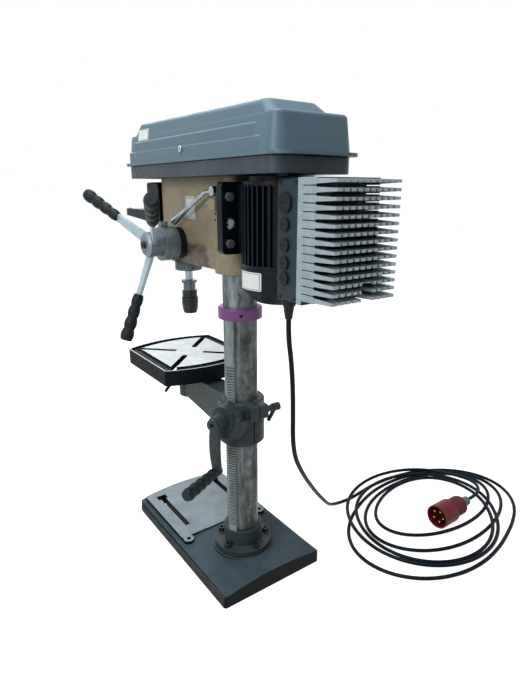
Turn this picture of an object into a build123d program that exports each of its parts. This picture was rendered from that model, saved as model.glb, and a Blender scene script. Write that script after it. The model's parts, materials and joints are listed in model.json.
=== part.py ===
from build123d import *
import os
from math import asin, atan2, ceil, cos, dist, pi, radians, sin, sqrt, tan

# A bench drill with an inverter motor. Millimetres. The column axis is the Z axis, the base
# stands on Z = 0, the operator stands on the -Y side and the feed handle is on the +X side.

# Clearances
fixed_fit = 0.05
running_fit = 0.08
swing_fit = 0.3

# Base
base_half_width = 128.5
base_front = -316.0
base_rear = 128.0
base_rim = 29.0
base_crown_front = 1.5
base_crown_rear = 11.5
base_bow = 14.0
base_spare = 3
base_skirt = 3.0
base_skirt_front = 14.0
base_skirt_rear = 27.0
base_pocket_roof = 17.0
plate_level = 39.0
plate_half_width = 118.0
plate_front = -309.0
plate_rear = -90.0
bench_hole_x = 105.0
bench_hole_y = -81.0
bench_hole_r = 5.0
bench_ear_r = 13.0
base_slot_x = 82.0
base_slot_width = 14.0
base_slot_front = -290.0
base_slot_rear = -131.0
base_slot_mouth = 26.0
base_mouth_length = 18.0

# Column, its foot and its collar
column_r = 36.0
column_wall = 6.0
column_top = 815.0
foot_pad_r = 72.0
foot_flange_r = 67.5
foot_flange_h = 15.0
foot_sleeve_r = 45.0
foot_sleeve_top = 93.0
foot_screw_circle = 56.0
foot_screw_count = 5
foot_screw_start = 17.0
foot_screw_r = 5.0
foot_head_r = 8.0
foot_head_h = 9.0
collar_r = 46.5
collar_bottom = 596.0
collar_h = 24.0

# Table rack and the gear that climbs it
bearing_angle = 26.0
rack_width = 20.0
rack_pitch_r = 44.0
rack_tip = 1.3
rack_root = 2.3
lift_module = 2.0
lift_teeth = 12
rack_tooth_top = 500.0
tooth_thinning = 0.15

# Table bracket
hub_r = 51.0
hub_bottom = 314.0
hub_top = 416.0
crank_z = 391.0
crank_boss_r = 27.0
crank_boss_end = 80.0
crank_nose_r = 16.0
crank_nose_end = 97.0
crank_shaft_r = 7.6
worm_drop = 22.0
gear_width = 15.0
gear_pin_r = 5.0
gear_case_r = 40.0
gear_case_end = 66.0
arm_half_width = 25.0
arm_arch = 12.0
table_boss_r = 30.0
table_boss_bottom = 345.0
table_stem_r = 18.0
clamp_bolt_y = 60.0
clamp_bolt_z = 398.0
clamp_bolt_r = 5.0
clamp_slit = 3.0
crank_radius = 110.0
crank_hub_r = 15.5
crank_arm_start = 98.0
crank_arm_thick = 11.0
crank_grip_r = 11.5
crank_grip_end = 214.0

# Table
table_half_width = 118.8
table_front = -346.0
table_rear = -133.0
table_bow = 28.0
table_top = 459.0
table_bottom = 422.0
table_pivot_y = -238.0
table_rim = 3.0
table_trough = 22.0
table_trough_depth = 5.0
table_slot_width = 14.0
table_slot_start = 34.0
table_slot_end = 140.0
table_wall = 9.0
table_roof = 14.0

# Head
head_half_width = 40.0
head_front = -275.0
head_rear = 40.0
head_top = 877.0
head_wall_bottom = 736.0
head_bottom = 692.0
head_keel_half = 31.0
head_boss_r = 50.0
slide_bar_r = 9.0
slide_bar_x = 22.0
slide_bar_z = 847.0
slide_bar_front = -70.0
lever_x = 57.0
lever_y = 0.0
lever_z = 850.0
lever_neck = 36.0
lever_reach = 176.0
lever_drop = 66.0
lever_r = 4.5
lever_end_r = 7.5
tension_x = 49.0
tension_z = 825.0
tension_r = 4.0
tension_front = -34.0

# Quill, spindle and chuck
spindle_y = -224.0
quill_r = 27.0
quill_bottom = 672.0
quill_top = 836.0
quill_stroke = 80.0
quill_module = 1.5
pinion_teeth = 20
quill_rack_y = -199.0
quill_rack_low = 716.0
collar_nut_r = 32.0
collar_nut_bottom = 669.0
collar_nut_top = 690.5
spindle_r = 10.0
bearing_r = 21.0
bearing_h = 12.0
nose_r = 9.0
nose_bottom = 644.0
taper_r = 8.0
taper_bottom = 615.0
spline_core_r = 8.0
spline_r = 9.6
spline_count = 6
spline_width = 3.0
spindle_top = 944.0
chuck_flange_r = 18.3
chuck_flange_bottom = 638.0
chuck_neck_r = 14.5
chuck_body_r = 15.5
chuck_bottom = 563.7
chuck_nose_r = 12.6
chuck_nose_h = 16.0
chuck_sleeve_r = 19.6
chuck_ring_r = 17.8
chuck_ring_h = 15.0
chuck_sleeve_top = 619.0
chuck_bore_r = 6.5
jaw_tilt = 16.0
jaw_r = 2.0
jaw_tip_offset = 8.7
jaw_length = 16.0
jaw_tip_z = 566.5

# Feed
feed_y = -184.0
feed_z = 737.5
feed_shaft_r = 9.0
pinion_half_width = 13.0
scale_r = 35.0
scale_end = 56.0
depth_r = 37.0
depth_start = 56.4
depth_end = 89.6
depth_sleeve_r = 20.0
depth_lug_r = 48.0
hub_start = 90.0
hub_end = 126.0
hub_barrel_r = 27.0
feed_arm_x = 104.0
feed_arm_tilt = 21.2
feed_arm_rest = 149.2
feed_arm_width = 24.0
feed_arm_tip_width = 17.0
feed_arm_thick = 7.0
feed_grip_start = 115.0
feed_grip_end = 221.0
feed_grip_r = 12.0
feed_grip_tip_r = 15.0
cap_r = 33.0
cap_end = -64.0

# Belt drive
motor_y = 140.0
pulley_base = 884.0
step_h = 16.0
groove_depth = 7.0
spindle_steps = (60.0, 48.0, 36.0)
motor_steps = (28.0, 40.0, 52.0)
sleeve_r = 15.0
sleeve_bottom = 841.0
sleeve_bearing_r = 26.0
belt_gap = 0.4

# Tray and cover
tray_half_width = 86.0
tray_front = -348.0
tray_rear = 231.0
tray_floor = 4.0
tray_top = 904.0
tray_corner = 26.0
tray_wall = 3.0
lip_half_width = 90.0
lip_front = -366.0
lip_rear = 249.0
lip_end = 16.0
lip_top = 910.0
cover_wall = 3.0
cover_draft = 7.0
cover_corner = 26.0
cover_rise = 89.0
cover_fall = 5.0
cover_edge_r = 7.0
crown_edge_r = 10.0
ledge_rise = 66.0
crown_base_rise = 51.0
crown_corner = 22.0
crown_left = 22.0
crown_front = 13.0
crown_rear = 8.0
crown_left_slope = 28.0
crown_right_slope = 5.0
crown_front_slope = 47.0
crown_rear_slope = 34.0
terrace_low_rise = 31.0
terrace_high_rise = 51.0
terrace_bevel = 3.0
cover_screw_y = -72.0
cover_screw_rise = 24.0
hinge_x = -95.0
hinge_z = 907.0
hinge_pin_r = 2.5
hinge_knuckle_r = 5.0

# Motor
motor_plate_front = 52.0
motor_plate_rear = 60.0
motor_foot_rear = 70.0
motor_half_width = 82.0
motor_plate_bottom = 737.0
motor_top = 866.0
motor_bottom = 718.0
motor_core_r = 63.0
motor_fin_r = 73.0
motor_shield_r = 58.0
motor_shield_h = 9.0
motor_bore_r = 41.0
motor_shaft_r = 9.5
motor_shaft_top = 926.0
rotor_r = 40.0
rotor_bottom = 730.0
rotor_h = 110.0
motor_shaft_bottom = 668.0
fan_r = 58.0
fan_bottom = 674.0
fan_h = 24.0
cowl_r = 74.0
cowl_bottom = 655.0
cowl_floor_r = 46.0
cowl_cone_h = 24.0
cowl_wall = 2.5
motor_bolt_x = 67.0
motor_bolt_high = 840.0
motor_bolt_low = 757.0

# Inverter
inverter_half_width = 67.0
inverter_front = 217.0
inverter_rear = 266.0
inverter_bottom = 677.0
inverter_top = 870.0
inverter_wall = 4.0
sink_root = 307.0
sink_tip = 350.0
sink_rows = 15
sink_pitch = 12.5
sink_root_thick = 11.0
sink_mid_thick = 8.0
sink_tip_thick = 4.6
sink_columns = 10
plug_y = 236.0

# Switch box, and the console whose top is measured from the box's underside
box_half_width = 45.0
box_front = -337.0
box_bottom = 776.0
box_top = 869.0
console_half_width = 48.0
console_tip = -470.0
console_top = 29.0
console_root_thick = 27.0
console_tip_thick = 17.0

# Mains cord and plug
cord_r = 4.5
gland_x = 54.0
gland_y = 232.0
gland_end = 645.0
coil_x = -518.7
coil_y = 169.3
coil_long = 280.4
coil_short = 190.8
coil_step = 29.8
coil_drift_x = -11.3
coil_drift_y = -12.7
coil_spread = 105.0
coil_spread_step = 55.0
coil_spread_way = 30.0
upper_x = -495.1
upper_y = 132.5
upper_long = 245.3
upper_short = 206.1
upper_step = 19.6
upper_drift_x = 1.8
upper_drift_y = 8.6
upper_spread = 45.0
upper_spread_way = 60.0
coil_turns = 5.2
coil_reverse = 3.07
coil_layer = 10.2
floor_gap = 0.3
plug_r = 31.0
plug_rear = -600.0
plug_line = 212.0
plug_length = 130.0
plug_skirt = 42.0
plug_pin_r = 2.5
plug_pin_circle = 15.0

UP = (Align.CENTER, Align.CENTER, Align.MIN)
DOWN = (Align.CENTER, Align.CENTER, Align.MAX)


def facing_x(x, y, z):
    """A plane at a point, looking along +X with its own y upward."""
    return Plane(origin=(x, y, z), x_dir=(0, 1, 0), z_dir=(1, 0, 0))


def facing_y(x, y, z):
    """A plane at a point, looking along +Y with its own x along +X."""
    return Plane(origin=(x, y, z), x_dir=(1, 0, 0), z_dir=(0, 1, 0))


def facing_out(r, z, side=0.0):
    """A plane that faces away from the column at the crank's bearing."""
    a = radians(bearing_angle)
    out = (cos(a), sin(a), 0)
    tangent = (-sin(a), cos(a), 0)
    at = (r * out[0] + side * tangent[0], r * out[1] + side * tangent[1], z)
    return Plane(origin=at, x_dir=tangent, z_dir=out)


def facing_round(r, z, side=0.0):
    """A plane that faces round the column at the crank's bearing, its own x pointing out."""
    a = radians(bearing_angle)
    out = (cos(a), sin(a), 0)
    tangent = (-sin(a), cos(a), 0)
    at = (r * out[0] + side * tangent[0], r * out[1] + side * tangent[1], z)
    return Plane(origin=at, x_dir=out, z_dir=tangent)


def save(node, name):
    """Label a finished piece and write it."""
    node.part.label = name
    export_step(node.part, f"parts/{name}.step")


def gear_outline(teeth, module):
    """A gear with thinned involute teeth, one of them on the local x axis."""
    pitch = teeth * module / 2
    ground = pitch * cos(radians(20))
    inv20 = tan(radians(20)) - radians(20)

    def half(r):
        turn = sqrt((r / ground) ** 2 - 1)
        return r * (pi / (2 * teeth) + inv20 - turn + atan2(turn, 1)) - tooth_thinning

    tip = pitch + module
    root = pitch - 1.2 * module
    middle = pitch + 0.5 * module
    low = half(ground) - 0.15
    with BuildSketch() as outline:
        Circle(root)
        with PolarLocations(0, teeth):
            Polygon(
                (root - 1, -low),
                (ground, -half(ground)),
                (pitch, -half(pitch)),
                (middle, -half(middle)),
                (tip, -half(tip)),
                (tip, half(tip)),
                (middle, half(middle)),
                (pitch, half(pitch)),
                (ground, half(ground)),
                (root - 1, low),
                align=None,
            )
    return outline.sketch


def rack_space(module, tip, root):
    """The space between two rack teeth: local x is the depth, positive toward the gear."""
    slope = tan(radians(20))
    half = pi * module / 4 + tooth_thinning
    with BuildSketch() as space:
        Polygon(
            (-root, -(half - root * slope)),
            (-root, half - root * slope),
            (tip + 1, half + (tip + 1) * slope),
            (tip + 1, -(half + (tip + 1) * slope)),
            align=None,
        )
    return space.sketch


def pulley_outline(steps, bore):
    """Half section of a stepped pulley with one V groove in every step."""
    outline = [(bore, pulley_base)]
    for i, r in enumerate(steps):
        low = pulley_base + i * step_h
        outline.append((r, low))
        outline.append((r, low + 2.5))
        outline.append((r - groove_depth, low + 5))
        outline.append((r - groove_depth, low + step_h - 5))
        outline.append((r, low + step_h - 2.5))
        outline.append((r, low + step_h))
    outline.append((bore, pulley_base + len(steps) * step_h))
    return outline


def grip_outline(start, end, r0, r1, waves, bore):
    """Half section of a ribbed grip along its own axis."""
    step = (end - start) / waves
    with BuildLine() as edge:
        Line((bore, start), (r0 * 0.8, start))
        for i in range(waves):
            low = start + i * step
            a = r0 + (r1 - r0) * i / waves
            b = r0 + (r1 - r0) * (i + 0.5) / waves
            c = r0 + (r1 - r0) * (i + 1) / waves
            ThreePointArc((a * 0.8, low), (b, low + step / 2), (c * 0.8, low + step))
        Line((r1 * 0.8, end), (bore, end))
        Line((bore, end), (bore, start))
    return edge.line


os.makedirs("parts", exist_ok=True)

# Cast base
with BuildPart() as base:
    with BuildSketch(Plane.XZ.offset(-base_rear)):
        with BuildLine():
            Line((-base_half_width, 0), (base_half_width, 0))
            Line((base_half_width, 0), (base_half_width, base_rim))
            ThreePointArc(
                (base_half_width, base_rim),
                (0, base_rim + base_crown_rear),
                (-base_half_width, base_rim),
            )
            Line((-base_half_width, base_rim), (-base_half_width, 0))
        make_face()
    with BuildSketch(Plane.XZ.offset(base_bow - base_front + base_spare)):
        with BuildLine():
            Line((-base_half_width, 0), (base_half_width, 0))
            Line((base_half_width, 0), (base_half_width, base_rim))
            ThreePointArc(
                (base_half_width, base_rim),
                (0, base_rim + base_crown_front),
                (-base_half_width, base_rim),
            )
            Line((-base_half_width, base_rim), (-base_half_width, 0))
        make_face()
    loft()
    for side in (-1, 1):
        inner = side * (base_half_width - 1)
        outer = side * (base_half_width + base_skirt)
        with BuildSketch(Plane.YZ.offset(min(inner, outer))):
            Polygon(
                (base_front - base_bow, 0),
                (base_rear, 0),
                (base_rear, base_skirt_rear),
                (base_front - base_bow, base_skirt_front),
                align=None,
            )
        extrude(amount=base_skirt + 1)
    with BuildSketch(Plane.XY):
        with BuildLine():
            edge = base_half_width + base_skirt
            Line((-edge, base_rear), (edge, base_rear))
            Line((edge, base_rear), (edge, base_front))
            ThreePointArc((edge, base_front), (0, base_front - base_bow), (-edge, base_front))
            Line((-edge, base_front), (-edge, base_rear))
        outline = make_face()
        fillet(outline.vertices(), 7)
    extrude(amount=60, mode=Mode.INTERSECT)
    with BuildSketch(Plane.XY.offset(base_pocket_roof)):
        with BuildLine():
            Line((-plate_half_width, plate_rear), (plate_half_width, plate_rear))
            Line((plate_half_width, plate_rear), (plate_half_width, plate_front))
            ThreePointArc(
                (plate_half_width, plate_front),
                (0, plate_front - base_bow),
                (-plate_half_width, plate_front),
            )
            Line((-plate_half_width, plate_front), (-plate_half_width, plate_rear))
        make_face()
        with Locations((bench_hole_x, bench_hole_y), (-bench_hole_x, bench_hole_y)):
            Circle(bench_ear_r)
        Circle(foot_pad_r)
    extrude(amount=plate_level - base_pocket_roof)
    with Locations((0, (base_slot_front + base_slot_rear) / 2, 0)):
        Box(
            2 * base_slot_x + 2 * base_slot_mouth,
            base_slot_rear - base_slot_front + base_slot_mouth,
            base_pocket_roof,
            align=UP,
            mode=Mode.SUBTRACT,
        )
    for side in (-1, 1):
        with Locations((side * base_slot_x, (base_slot_front + base_slot_rear) / 2, 0)):
            Box(
                base_slot_width,
                base_slot_rear - base_slot_front,
                60,
                align=UP,
                mode=Mode.SUBTRACT,
            )
        with Locations((side * base_slot_x, base_slot_front + base_mouth_length / 2, 0)):
            Box(base_slot_mouth, base_mouth_length, 60, align=UP, mode=Mode.SUBTRACT)
        with Locations((side * bench_hole_x, bench_hole_y, 0)):
            Cylinder(bench_hole_r, 60, align=UP, mode=Mode.SUBTRACT)
    with Locations((0, 0, plate_level)):
        Cylinder(foot_pad_r, 20, align=UP, mode=Mode.SUBTRACT)
        with PolarLocations(foot_screw_circle, foot_screw_count, foot_screw_start):
            Cylinder(foot_screw_r + fixed_fit, 22, align=DOWN, mode=Mode.SUBTRACT)
save(base, "base")

# Column foot: flange and sleeve on the base pad
flange_top = plate_level + foot_flange_h
with BuildPart() as column_foot:
    with Locations((0, 0, plate_level)):
        Cylinder(foot_flange_r, foot_flange_h, align=UP)
        Cylinder(foot_sleeve_r, foot_sleeve_top - plate_level, align=UP)
    chamfer(column_foot.edges().group_by(Axis.Z)[-1], 3)
    with Locations((0, 0, plate_level)):
        Cylinder(column_r + fixed_fit, foot_sleeve_top, align=UP, mode=Mode.SUBTRACT)
        with PolarLocations(foot_screw_circle, foot_screw_count, foot_screw_start):
            Cylinder(foot_screw_r + 0.5, foot_flange_h, align=UP, mode=Mode.SUBTRACT)
save(column_foot, "column_foot")

with BuildPart() as foot_screws:
    with Locations((0, 0, flange_top)):
        with PolarLocations(foot_screw_circle, foot_screw_count, foot_screw_start):
            Cylinder(foot_head_r, foot_head_h, align=UP)
            Cylinder(foot_screw_r, foot_flange_h + 20, align=DOWN)
    with BuildSketch(Plane.XY.offset(flange_top + foot_head_h)):
        with PolarLocations(foot_screw_circle, foot_screw_count, foot_screw_start):
            RegularPolygon(4.6, 6)
    extrude(amount=-5, mode=Mode.SUBTRACT)
save(foot_screws, "foot_screws")

with BuildPart() as column:
    with Locations((0, 0, plate_level)):
        Cylinder(column_r, column_top - plate_level, align=UP)
        Cylinder(column_r - column_wall, column_top, align=UP, mode=Mode.SUBTRACT)
save(column, "column")

# Collar that keeps the rack from rising
with BuildPart() as rack_collar:
    with Locations((0, 0, collar_bottom)):
        Cylinder(collar_r, collar_h, align=UP)
    chamfer(rack_collar.edges().group_by(Axis.Z)[-1], 2.5)
    with Locations((0, 0, collar_bottom)):
        Cylinder(column_r + fixed_fit, collar_h, align=UP, mode=Mode.SUBTRACT)
    with Locations(Plane(origin=(0, 0, collar_bottom + 11), x_dir=(0, 0, 1), z_dir=(0.5, 0.866, 0))):
        Cylinder(4, 80, align=UP, mode=Mode.SUBTRACT)
save(rack_collar, "rack_collar")

# Head casting
with BuildPart() as head:
    with BuildSketch(Plane.XY.offset(head_wall_bottom)):
        with Locations((0, (head_front + head_rear) / 2)):
            RectangleRounded(2 * head_half_width, head_rear - head_front, 14)
    extrude(amount=head_top - head_wall_bottom)
    with BuildSketch(Plane.XZ.offset(-spindle_y)):
        Polygon(
            (-head_half_width, head_wall_bottom),
            (-head_keel_half, head_bottom),
            (head_keel_half, head_bottom),
            (head_half_width, head_wall_bottom),
            align=None,
        )
    extrude(amount=spindle_y + 20)
    with Locations((0, spindle_y, head_bottom)):
        Cylinder(head_half_width - 1, 60, align=UP)
    with Locations((0, 0, head_bottom - 2)):
        Cylinder(head_boss_r, head_wall_bottom - head_bottom + 2, align=UP)
    with Locations((tension_x - 4, -8, tension_z)):
        Box(26, 24, 22)
    with Locations((0, 0, head_bottom - 2)):
        Cylinder(
            column_r + fixed_fit,
            column_top - head_bottom + 2.5,
            align=UP,
            mode=Mode.SUBTRACT,
        )
    with Locations((0, spindle_y, head_bottom - 1)):
        Cylinder(quill_r + running_fit, 149, align=UP, mode=Mode.SUBTRACT)
    with Locations((0, spindle_y, sleeve_bottom - 1.5)):
        Cylinder(sleeve_bearing_r + fixed_fit, 60, align=UP, mode=Mode.SUBTRACT)
    with Locations(facing_x(-pinion_half_width - 1, feed_y, feed_z)):
        Cylinder(17.2, 80, align=UP, mode=Mode.SUBTRACT)
    with Locations(facing_x(-60, feed_y, feed_z)):
        Cylinder(feed_shaft_r + running_fit, 60, align=UP, mode=Mode.SUBTRACT)
    with Locations(
        facing_y(slide_bar_x, slide_bar_front - 10, slide_bar_z),
        facing_y(-slide_bar_x, slide_bar_front - 10, slide_bar_z),
    ):
        Cylinder(slide_bar_r + running_fit, 200, align=UP, mode=Mode.SUBTRACT)
    with Locations(facing_y(tension_x, -60, tension_z)):
        Cylinder(tension_r + 0.3, 120, align=UP, mode=Mode.SUBTRACT)
    with Locations(facing_x(20, lever_y, lever_z)):
        Cylinder(6 + running_fit, 60, align=UP, mode=Mode.SUBTRACT)
    with Locations(facing_x(30, -25, 806), facing_x(30, -26, 794)):
        Cylinder(3, 60, align=UP, mode=Mode.SUBTRACT)
    with Locations(Plane(origin=(40, -20, 712), x_dir=(0, 0, 1), z_dir=(0.89, -0.45, 0))):
        Cylinder(4, 60, mode=Mode.SUBTRACT)
    with Locations((0, -118, 757)):
        Box(60, 74, 110, align=UP, mode=Mode.SUBTRACT)
save(head, "head")

# Dark scale ring, which is also the bush of the feed shaft
with BuildPart() as scale_ring:
    with Locations(facing_x(head_half_width, feed_y, feed_z)):
        Cylinder(scale_r, scale_end - head_half_width, align=UP)
    with Locations(facing_x(pinion_half_width + 5, feed_y, feed_z)):
        Cylinder(17.2 - fixed_fit, head_half_width - pinion_half_width - 5, align=UP)
    with Locations(facing_x(0, feed_y, feed_z)):
        Cylinder(feed_shaft_r + running_fit, 200, mode=Mode.SUBTRACT)
save(scale_ring, "scale_ring")

# Return spring and its cap on the left wall
with BuildPart() as spring_cap:
    with Locations(facing_x(cap_end, feed_y, feed_z)):
        Cylinder(cap_r, -head_half_width - cap_end, align=UP)
    fillet(spring_cap.edges().group_by(Axis.X)[0], 3)
    with Locations(facing_x(cap_end + 3, feed_y, feed_z)):
        Cylinder(cap_r - 3, 80, align=UP, mode=Mode.SUBTRACT)
    with Locations(facing_x(cap_end, feed_y, feed_z)):
        Cylinder(4, 10, mode=Mode.SUBTRACT)
save(spring_cap, "spring_cap")

with BuildPart() as return_spring:
    with Locations(facing_x(cap_end + 6, feed_y, feed_z)):
        Cylinder(cap_r - 3.5, 14, align=UP)
        Cylinder(feed_shaft_r + 5, 14, align=UP, mode=Mode.SUBTRACT)
save(return_spring, "return_spring")

# Quill with the rack on its rear side, long enough for the pinion at full stroke
quill_rack_high = feed_z + quill_stroke + (pinion_teeth / 2 + 1) * quill_module
with BuildPart() as quill:
    with Locations((0, spindle_y, quill_bottom)):
        Cylinder(quill_r, quill_top - quill_bottom, align=UP)
    with Locations((0, quill_rack_y + quill_module, quill_rack_low)):
        Box(
            60,
            20,
            quill_rack_high - quill_rack_low,
            align=(Align.CENTER, Align.MIN, Align.MIN),
            mode=Mode.SUBTRACT,
        )
    rack_step = pi * quill_module
    rack_below = int((feed_z - quill_rack_low) / rack_step)
    rack_above = int((quill_rack_high - feed_z) / rack_step)
    with BuildSketch(Plane.YZ.offset(-30)):
        with Locations(
            *[(quill_rack_y, feed_z + i * rack_step) for i in range(-rack_below, rack_above)]
        ):
            add(rack_space(quill_module, quill_module, 1.25 * quill_module))
    extrude(amount=60, mode=Mode.SUBTRACT)
    with Locations((0, spindle_y, quill_bottom)):
        Cylinder(spindle_r + 1.5, 300, align=UP, mode=Mode.SUBTRACT)
        Cylinder(bearing_r + fixed_fit, bearing_h + 3, align=UP, mode=Mode.SUBTRACT)
    with Locations((0, spindle_y, quill_top)):
        Cylinder(bearing_r + fixed_fit, bearing_h + 3, align=DOWN, mode=Mode.SUBTRACT)
save(quill, "quill")

with BuildPart() as quill_collar:
    with Locations((0, spindle_y, collar_nut_bottom)):
        Cylinder(collar_nut_r, collar_nut_top - collar_nut_bottom, align=UP)
    chamfer(quill_collar.edges().filter_by(GeomType.CIRCLE), 1.5)
    with BuildSketch(Plane.XY.offset(collar_nut_bottom + 3)):
        with Locations((0, spindle_y)):
            with PolarLocations(collar_nut_r, 30):
                Circle(1.1)
    extrude(amount=collar_nut_top - collar_nut_bottom - 6, mode=Mode.SUBTRACT)
    with Locations((0, spindle_y, quill_bottom)):
        Cylinder(quill_r + fixed_fit, 60, align=UP, mode=Mode.SUBTRACT)
    with Locations((0, spindle_y, collar_nut_bottom)):
        Cylinder(spindle_r + 2.5, 60, align=UP, mode=Mode.SUBTRACT)
save(quill_collar, "quill_collar")

with BuildPart() as spindle_bearings:
    with Locations((0, spindle_y, quill_bottom + 3), (0, spindle_y, quill_top - 15)):
        Cylinder(bearing_r, bearing_h, align=UP)
        Cylinder(spindle_r + running_fit, bearing_h, align=UP, mode=Mode.SUBTRACT)
save(spindle_bearings, "spindle_bearings")

# Spindle, splined where it slides in the drive sleeve
with BuildPart() as spindle:
    with Locations((0, spindle_y, nose_bottom)):
        Cylinder(nose_r, quill_bottom - nose_bottom, align=UP)
    with Locations((0, spindle_y, quill_bottom)):
        Cylinder(spindle_r, quill_top - quill_bottom, align=UP)
    with Locations((0, spindle_y, taper_bottom)):
        Cylinder(taper_r, nose_bottom - taper_bottom, align=UP)
    with BuildSketch(Plane.XY.offset(quill_top)):
        with Locations((0, spindle_y)):
            Circle(spline_core_r)
            with PolarLocations(spline_r / 2, spline_count):
                Rectangle(spline_r, spline_width)
    extrude(amount=spindle_top - quill_top)
save(spindle, "spindle")

# Keyless chuck
jaw_planes = []
for k in range(3):
    turn = radians(90 + 120 * k)
    lean = radians(jaw_tilt)
    axis = (sin(lean) * cos(turn), sin(lean) * sin(turn), cos(lean))
    tip = (jaw_tip_offset * cos(turn), spindle_y + jaw_tip_offset * sin(turn), jaw_tip_z)
    jaw_planes.append(Plane(origin=tip, x_dir=(-sin(turn), cos(turn), 0), z_dir=axis))

with BuildPart() as chuck_body:
    with BuildSketch(Plane.XZ.offset(-spindle_y)):
        Polygon(
            (0, chuck_bottom + 1),
            (chuck_nose_r, chuck_bottom + 1),
            (chuck_body_r, chuck_bottom + chuck_nose_h),
            (chuck_body_r, chuck_sleeve_top),
            (0, chuck_sleeve_top),
            align=None,
        )
    revolve(axis=Axis((0, spindle_y, 0), (0, 0, 1)))
    with Locations((0, spindle_y, chuck_sleeve_top)):
        Cylinder(chuck_neck_r, chuck_flange_bottom - chuck_sleeve_top, align=UP)
    with Locations((0, spindle_y, chuck_flange_bottom)):
        Cylinder(chuck_flange_r, nose_bottom - chuck_flange_bottom, align=UP)
    with Locations((0, spindle_y, taper_bottom - 1)):
        Cylinder(taper_r + fixed_fit, 60, align=UP, mode=Mode.SUBTRACT)
    with Locations((0, spindle_y, chuck_bottom)):
        Cylinder(chuck_bore_r, 36, align=UP, mode=Mode.SUBTRACT)
    with Locations(*[plane.offset(-20) for plane in jaw_planes]):
        Cylinder(jaw_r + 0.3, 20 + jaw_length + 3, align=UP, mode=Mode.SUBTRACT)
save(chuck_body, "chuck_body")

# The sleeve: a tapered lower grip with flutes, and a plain ring above a groove
ring_bottom = chuck_sleeve_top - chuck_ring_h
with BuildPart() as chuck_sleeve:
    with BuildSketch(Plane.XZ.offset(-spindle_y)):
        Polygon(
            (chuck_nose_r + swing_fit, chuck_bottom),
            (chuck_nose_r + 3, chuck_bottom),
            (chuck_sleeve_r - 1.5, chuck_bottom + 9),
            (chuck_sleeve_r, chuck_bottom + 24),
            (chuck_sleeve_r, ring_bottom - 2),
            (chuck_ring_r - 0.8, ring_bottom - 1),
            (chuck_ring_r - 0.8, ring_bottom),
            (chuck_ring_r, ring_bottom + 0.6),
            (chuck_ring_r, chuck_sleeve_top - 1),
            (chuck_ring_r - 1, chuck_sleeve_top),
            (chuck_body_r + swing_fit, chuck_sleeve_top),
            (chuck_body_r + swing_fit, chuck_bottom + chuck_nose_h - 1),
            align=None,
        )
    revolve(axis=Axis((0, spindle_y, 0), (0, 0, 1)))
    with BuildSketch(Plane.XY.offset(chuck_bottom + 12)):
        with Locations((0, spindle_y)):
            with PolarLocations(chuck_sleeve_r + 0.6, 12):
                Circle(1.6)
    extrude(amount=ring_bottom - chuck_bottom - 16, mode=Mode.SUBTRACT)
save(chuck_sleeve, "chuck_sleeve")

for plane, name in zip(jaw_planes, ("chuck_jaw_a", "chuck_jaw_b", "chuck_jaw_c")):
    with BuildPart() as jaw:
        with Locations(plane):
            Cylinder(jaw_r, jaw_length, align=UP)
    save(jaw, name)

# Spindle pulley on the drive sleeve, and the sleeve's bearings
with BuildPart() as spindle_pulley:
    with BuildSketch(Plane.XZ.offset(-spindle_y)):
        Polygon(*pulley_outline(spindle_steps, 0), align=None)
    revolve(axis=Axis((0, spindle_y, 0), (0, 0, 1)))
    with Locations((0, spindle_y, sleeve_bottom)):
        Cylinder(sleeve_r, pulley_base - sleeve_bottom, align=UP)
    with BuildSketch(Plane.XY.offset(sleeve_bottom)):
        with Locations((0, spindle_y)):
            Circle(spline_core_r + swing_fit)
            with PolarLocations(spline_r / 2, spline_count):
                Rectangle(spline_r + 2 * swing_fit, spline_width + 2 * swing_fit)
    extrude(amount=120, mode=Mode.SUBTRACT)
save(spindle_pulley, "spindle_pulley")

with BuildPart() as sleeve_bearings:
    with Locations((0, spindle_y, sleeve_bottom), (0, spindle_y, head_top - 13)):
        Cylinder(sleeve_bearing_r, 13, align=UP)
        Cylinder(sleeve_r + running_fit, 13, align=UP, mode=Mode.SUBTRACT)
save(sleeve_bearings, "sleeve_bearings")

# Feed shaft with its pinion
with BuildPart() as feed_shaft:
    with Locations(facing_x(cap_end + 4, feed_y, feed_z)):
        Cylinder(feed_shaft_r, hub_end - cap_end - 8, align=UP)
    with BuildSketch(facing_x(-pinion_half_width, feed_y, feed_z)):
        add(gear_outline(pinion_teeth, quill_module))
    extrude(amount=2 * pinion_half_width)
save(feed_shaft, "feed_shaft")

arm_planes = []
for k in range(3):
    a = radians(feed_arm_rest - 120 * k)
    t = radians(feed_arm_tilt)
    out = (sin(t), cos(t) * cos(a), cos(t) * sin(a))
    round_x = (0, -sin(a), cos(a))
    arm_planes.append(Plane(origin=(feed_arm_x, feed_y, feed_z), x_dir=round_x, z_dir=out))

with BuildPart() as feed_hub:
    with BuildSketch(facing_x(depth_start, feed_y, feed_z)):
        Circle(depth_sleeve_r)
    extrude(amount=hub_start - depth_start)
    with Locations(facing_x(hub_start, feed_y, feed_z)):
        Cylinder(hub_barrel_r, hub_end - hub_start, align=UP)
    chamfer(feed_hub.edges().group_by(Axis.X)[-1], 5)
    with Locations(facing_x(0, feed_y, feed_z)):
        Cylinder(feed_shaft_r + fixed_fit, 122.5, align=UP, mode=Mode.SUBTRACT)
        Cylinder(4, 200, align=UP, mode=Mode.SUBTRACT)
    for plane in arm_planes:
        with BuildSketch(plane.offset(15)):
            Rectangle(feed_arm_width + 2 * fixed_fit, feed_arm_thick + 2 * fixed_fit)
        extrude(amount=40, mode=Mode.SUBTRACT)
save(feed_hub, "feed_hub")

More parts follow.
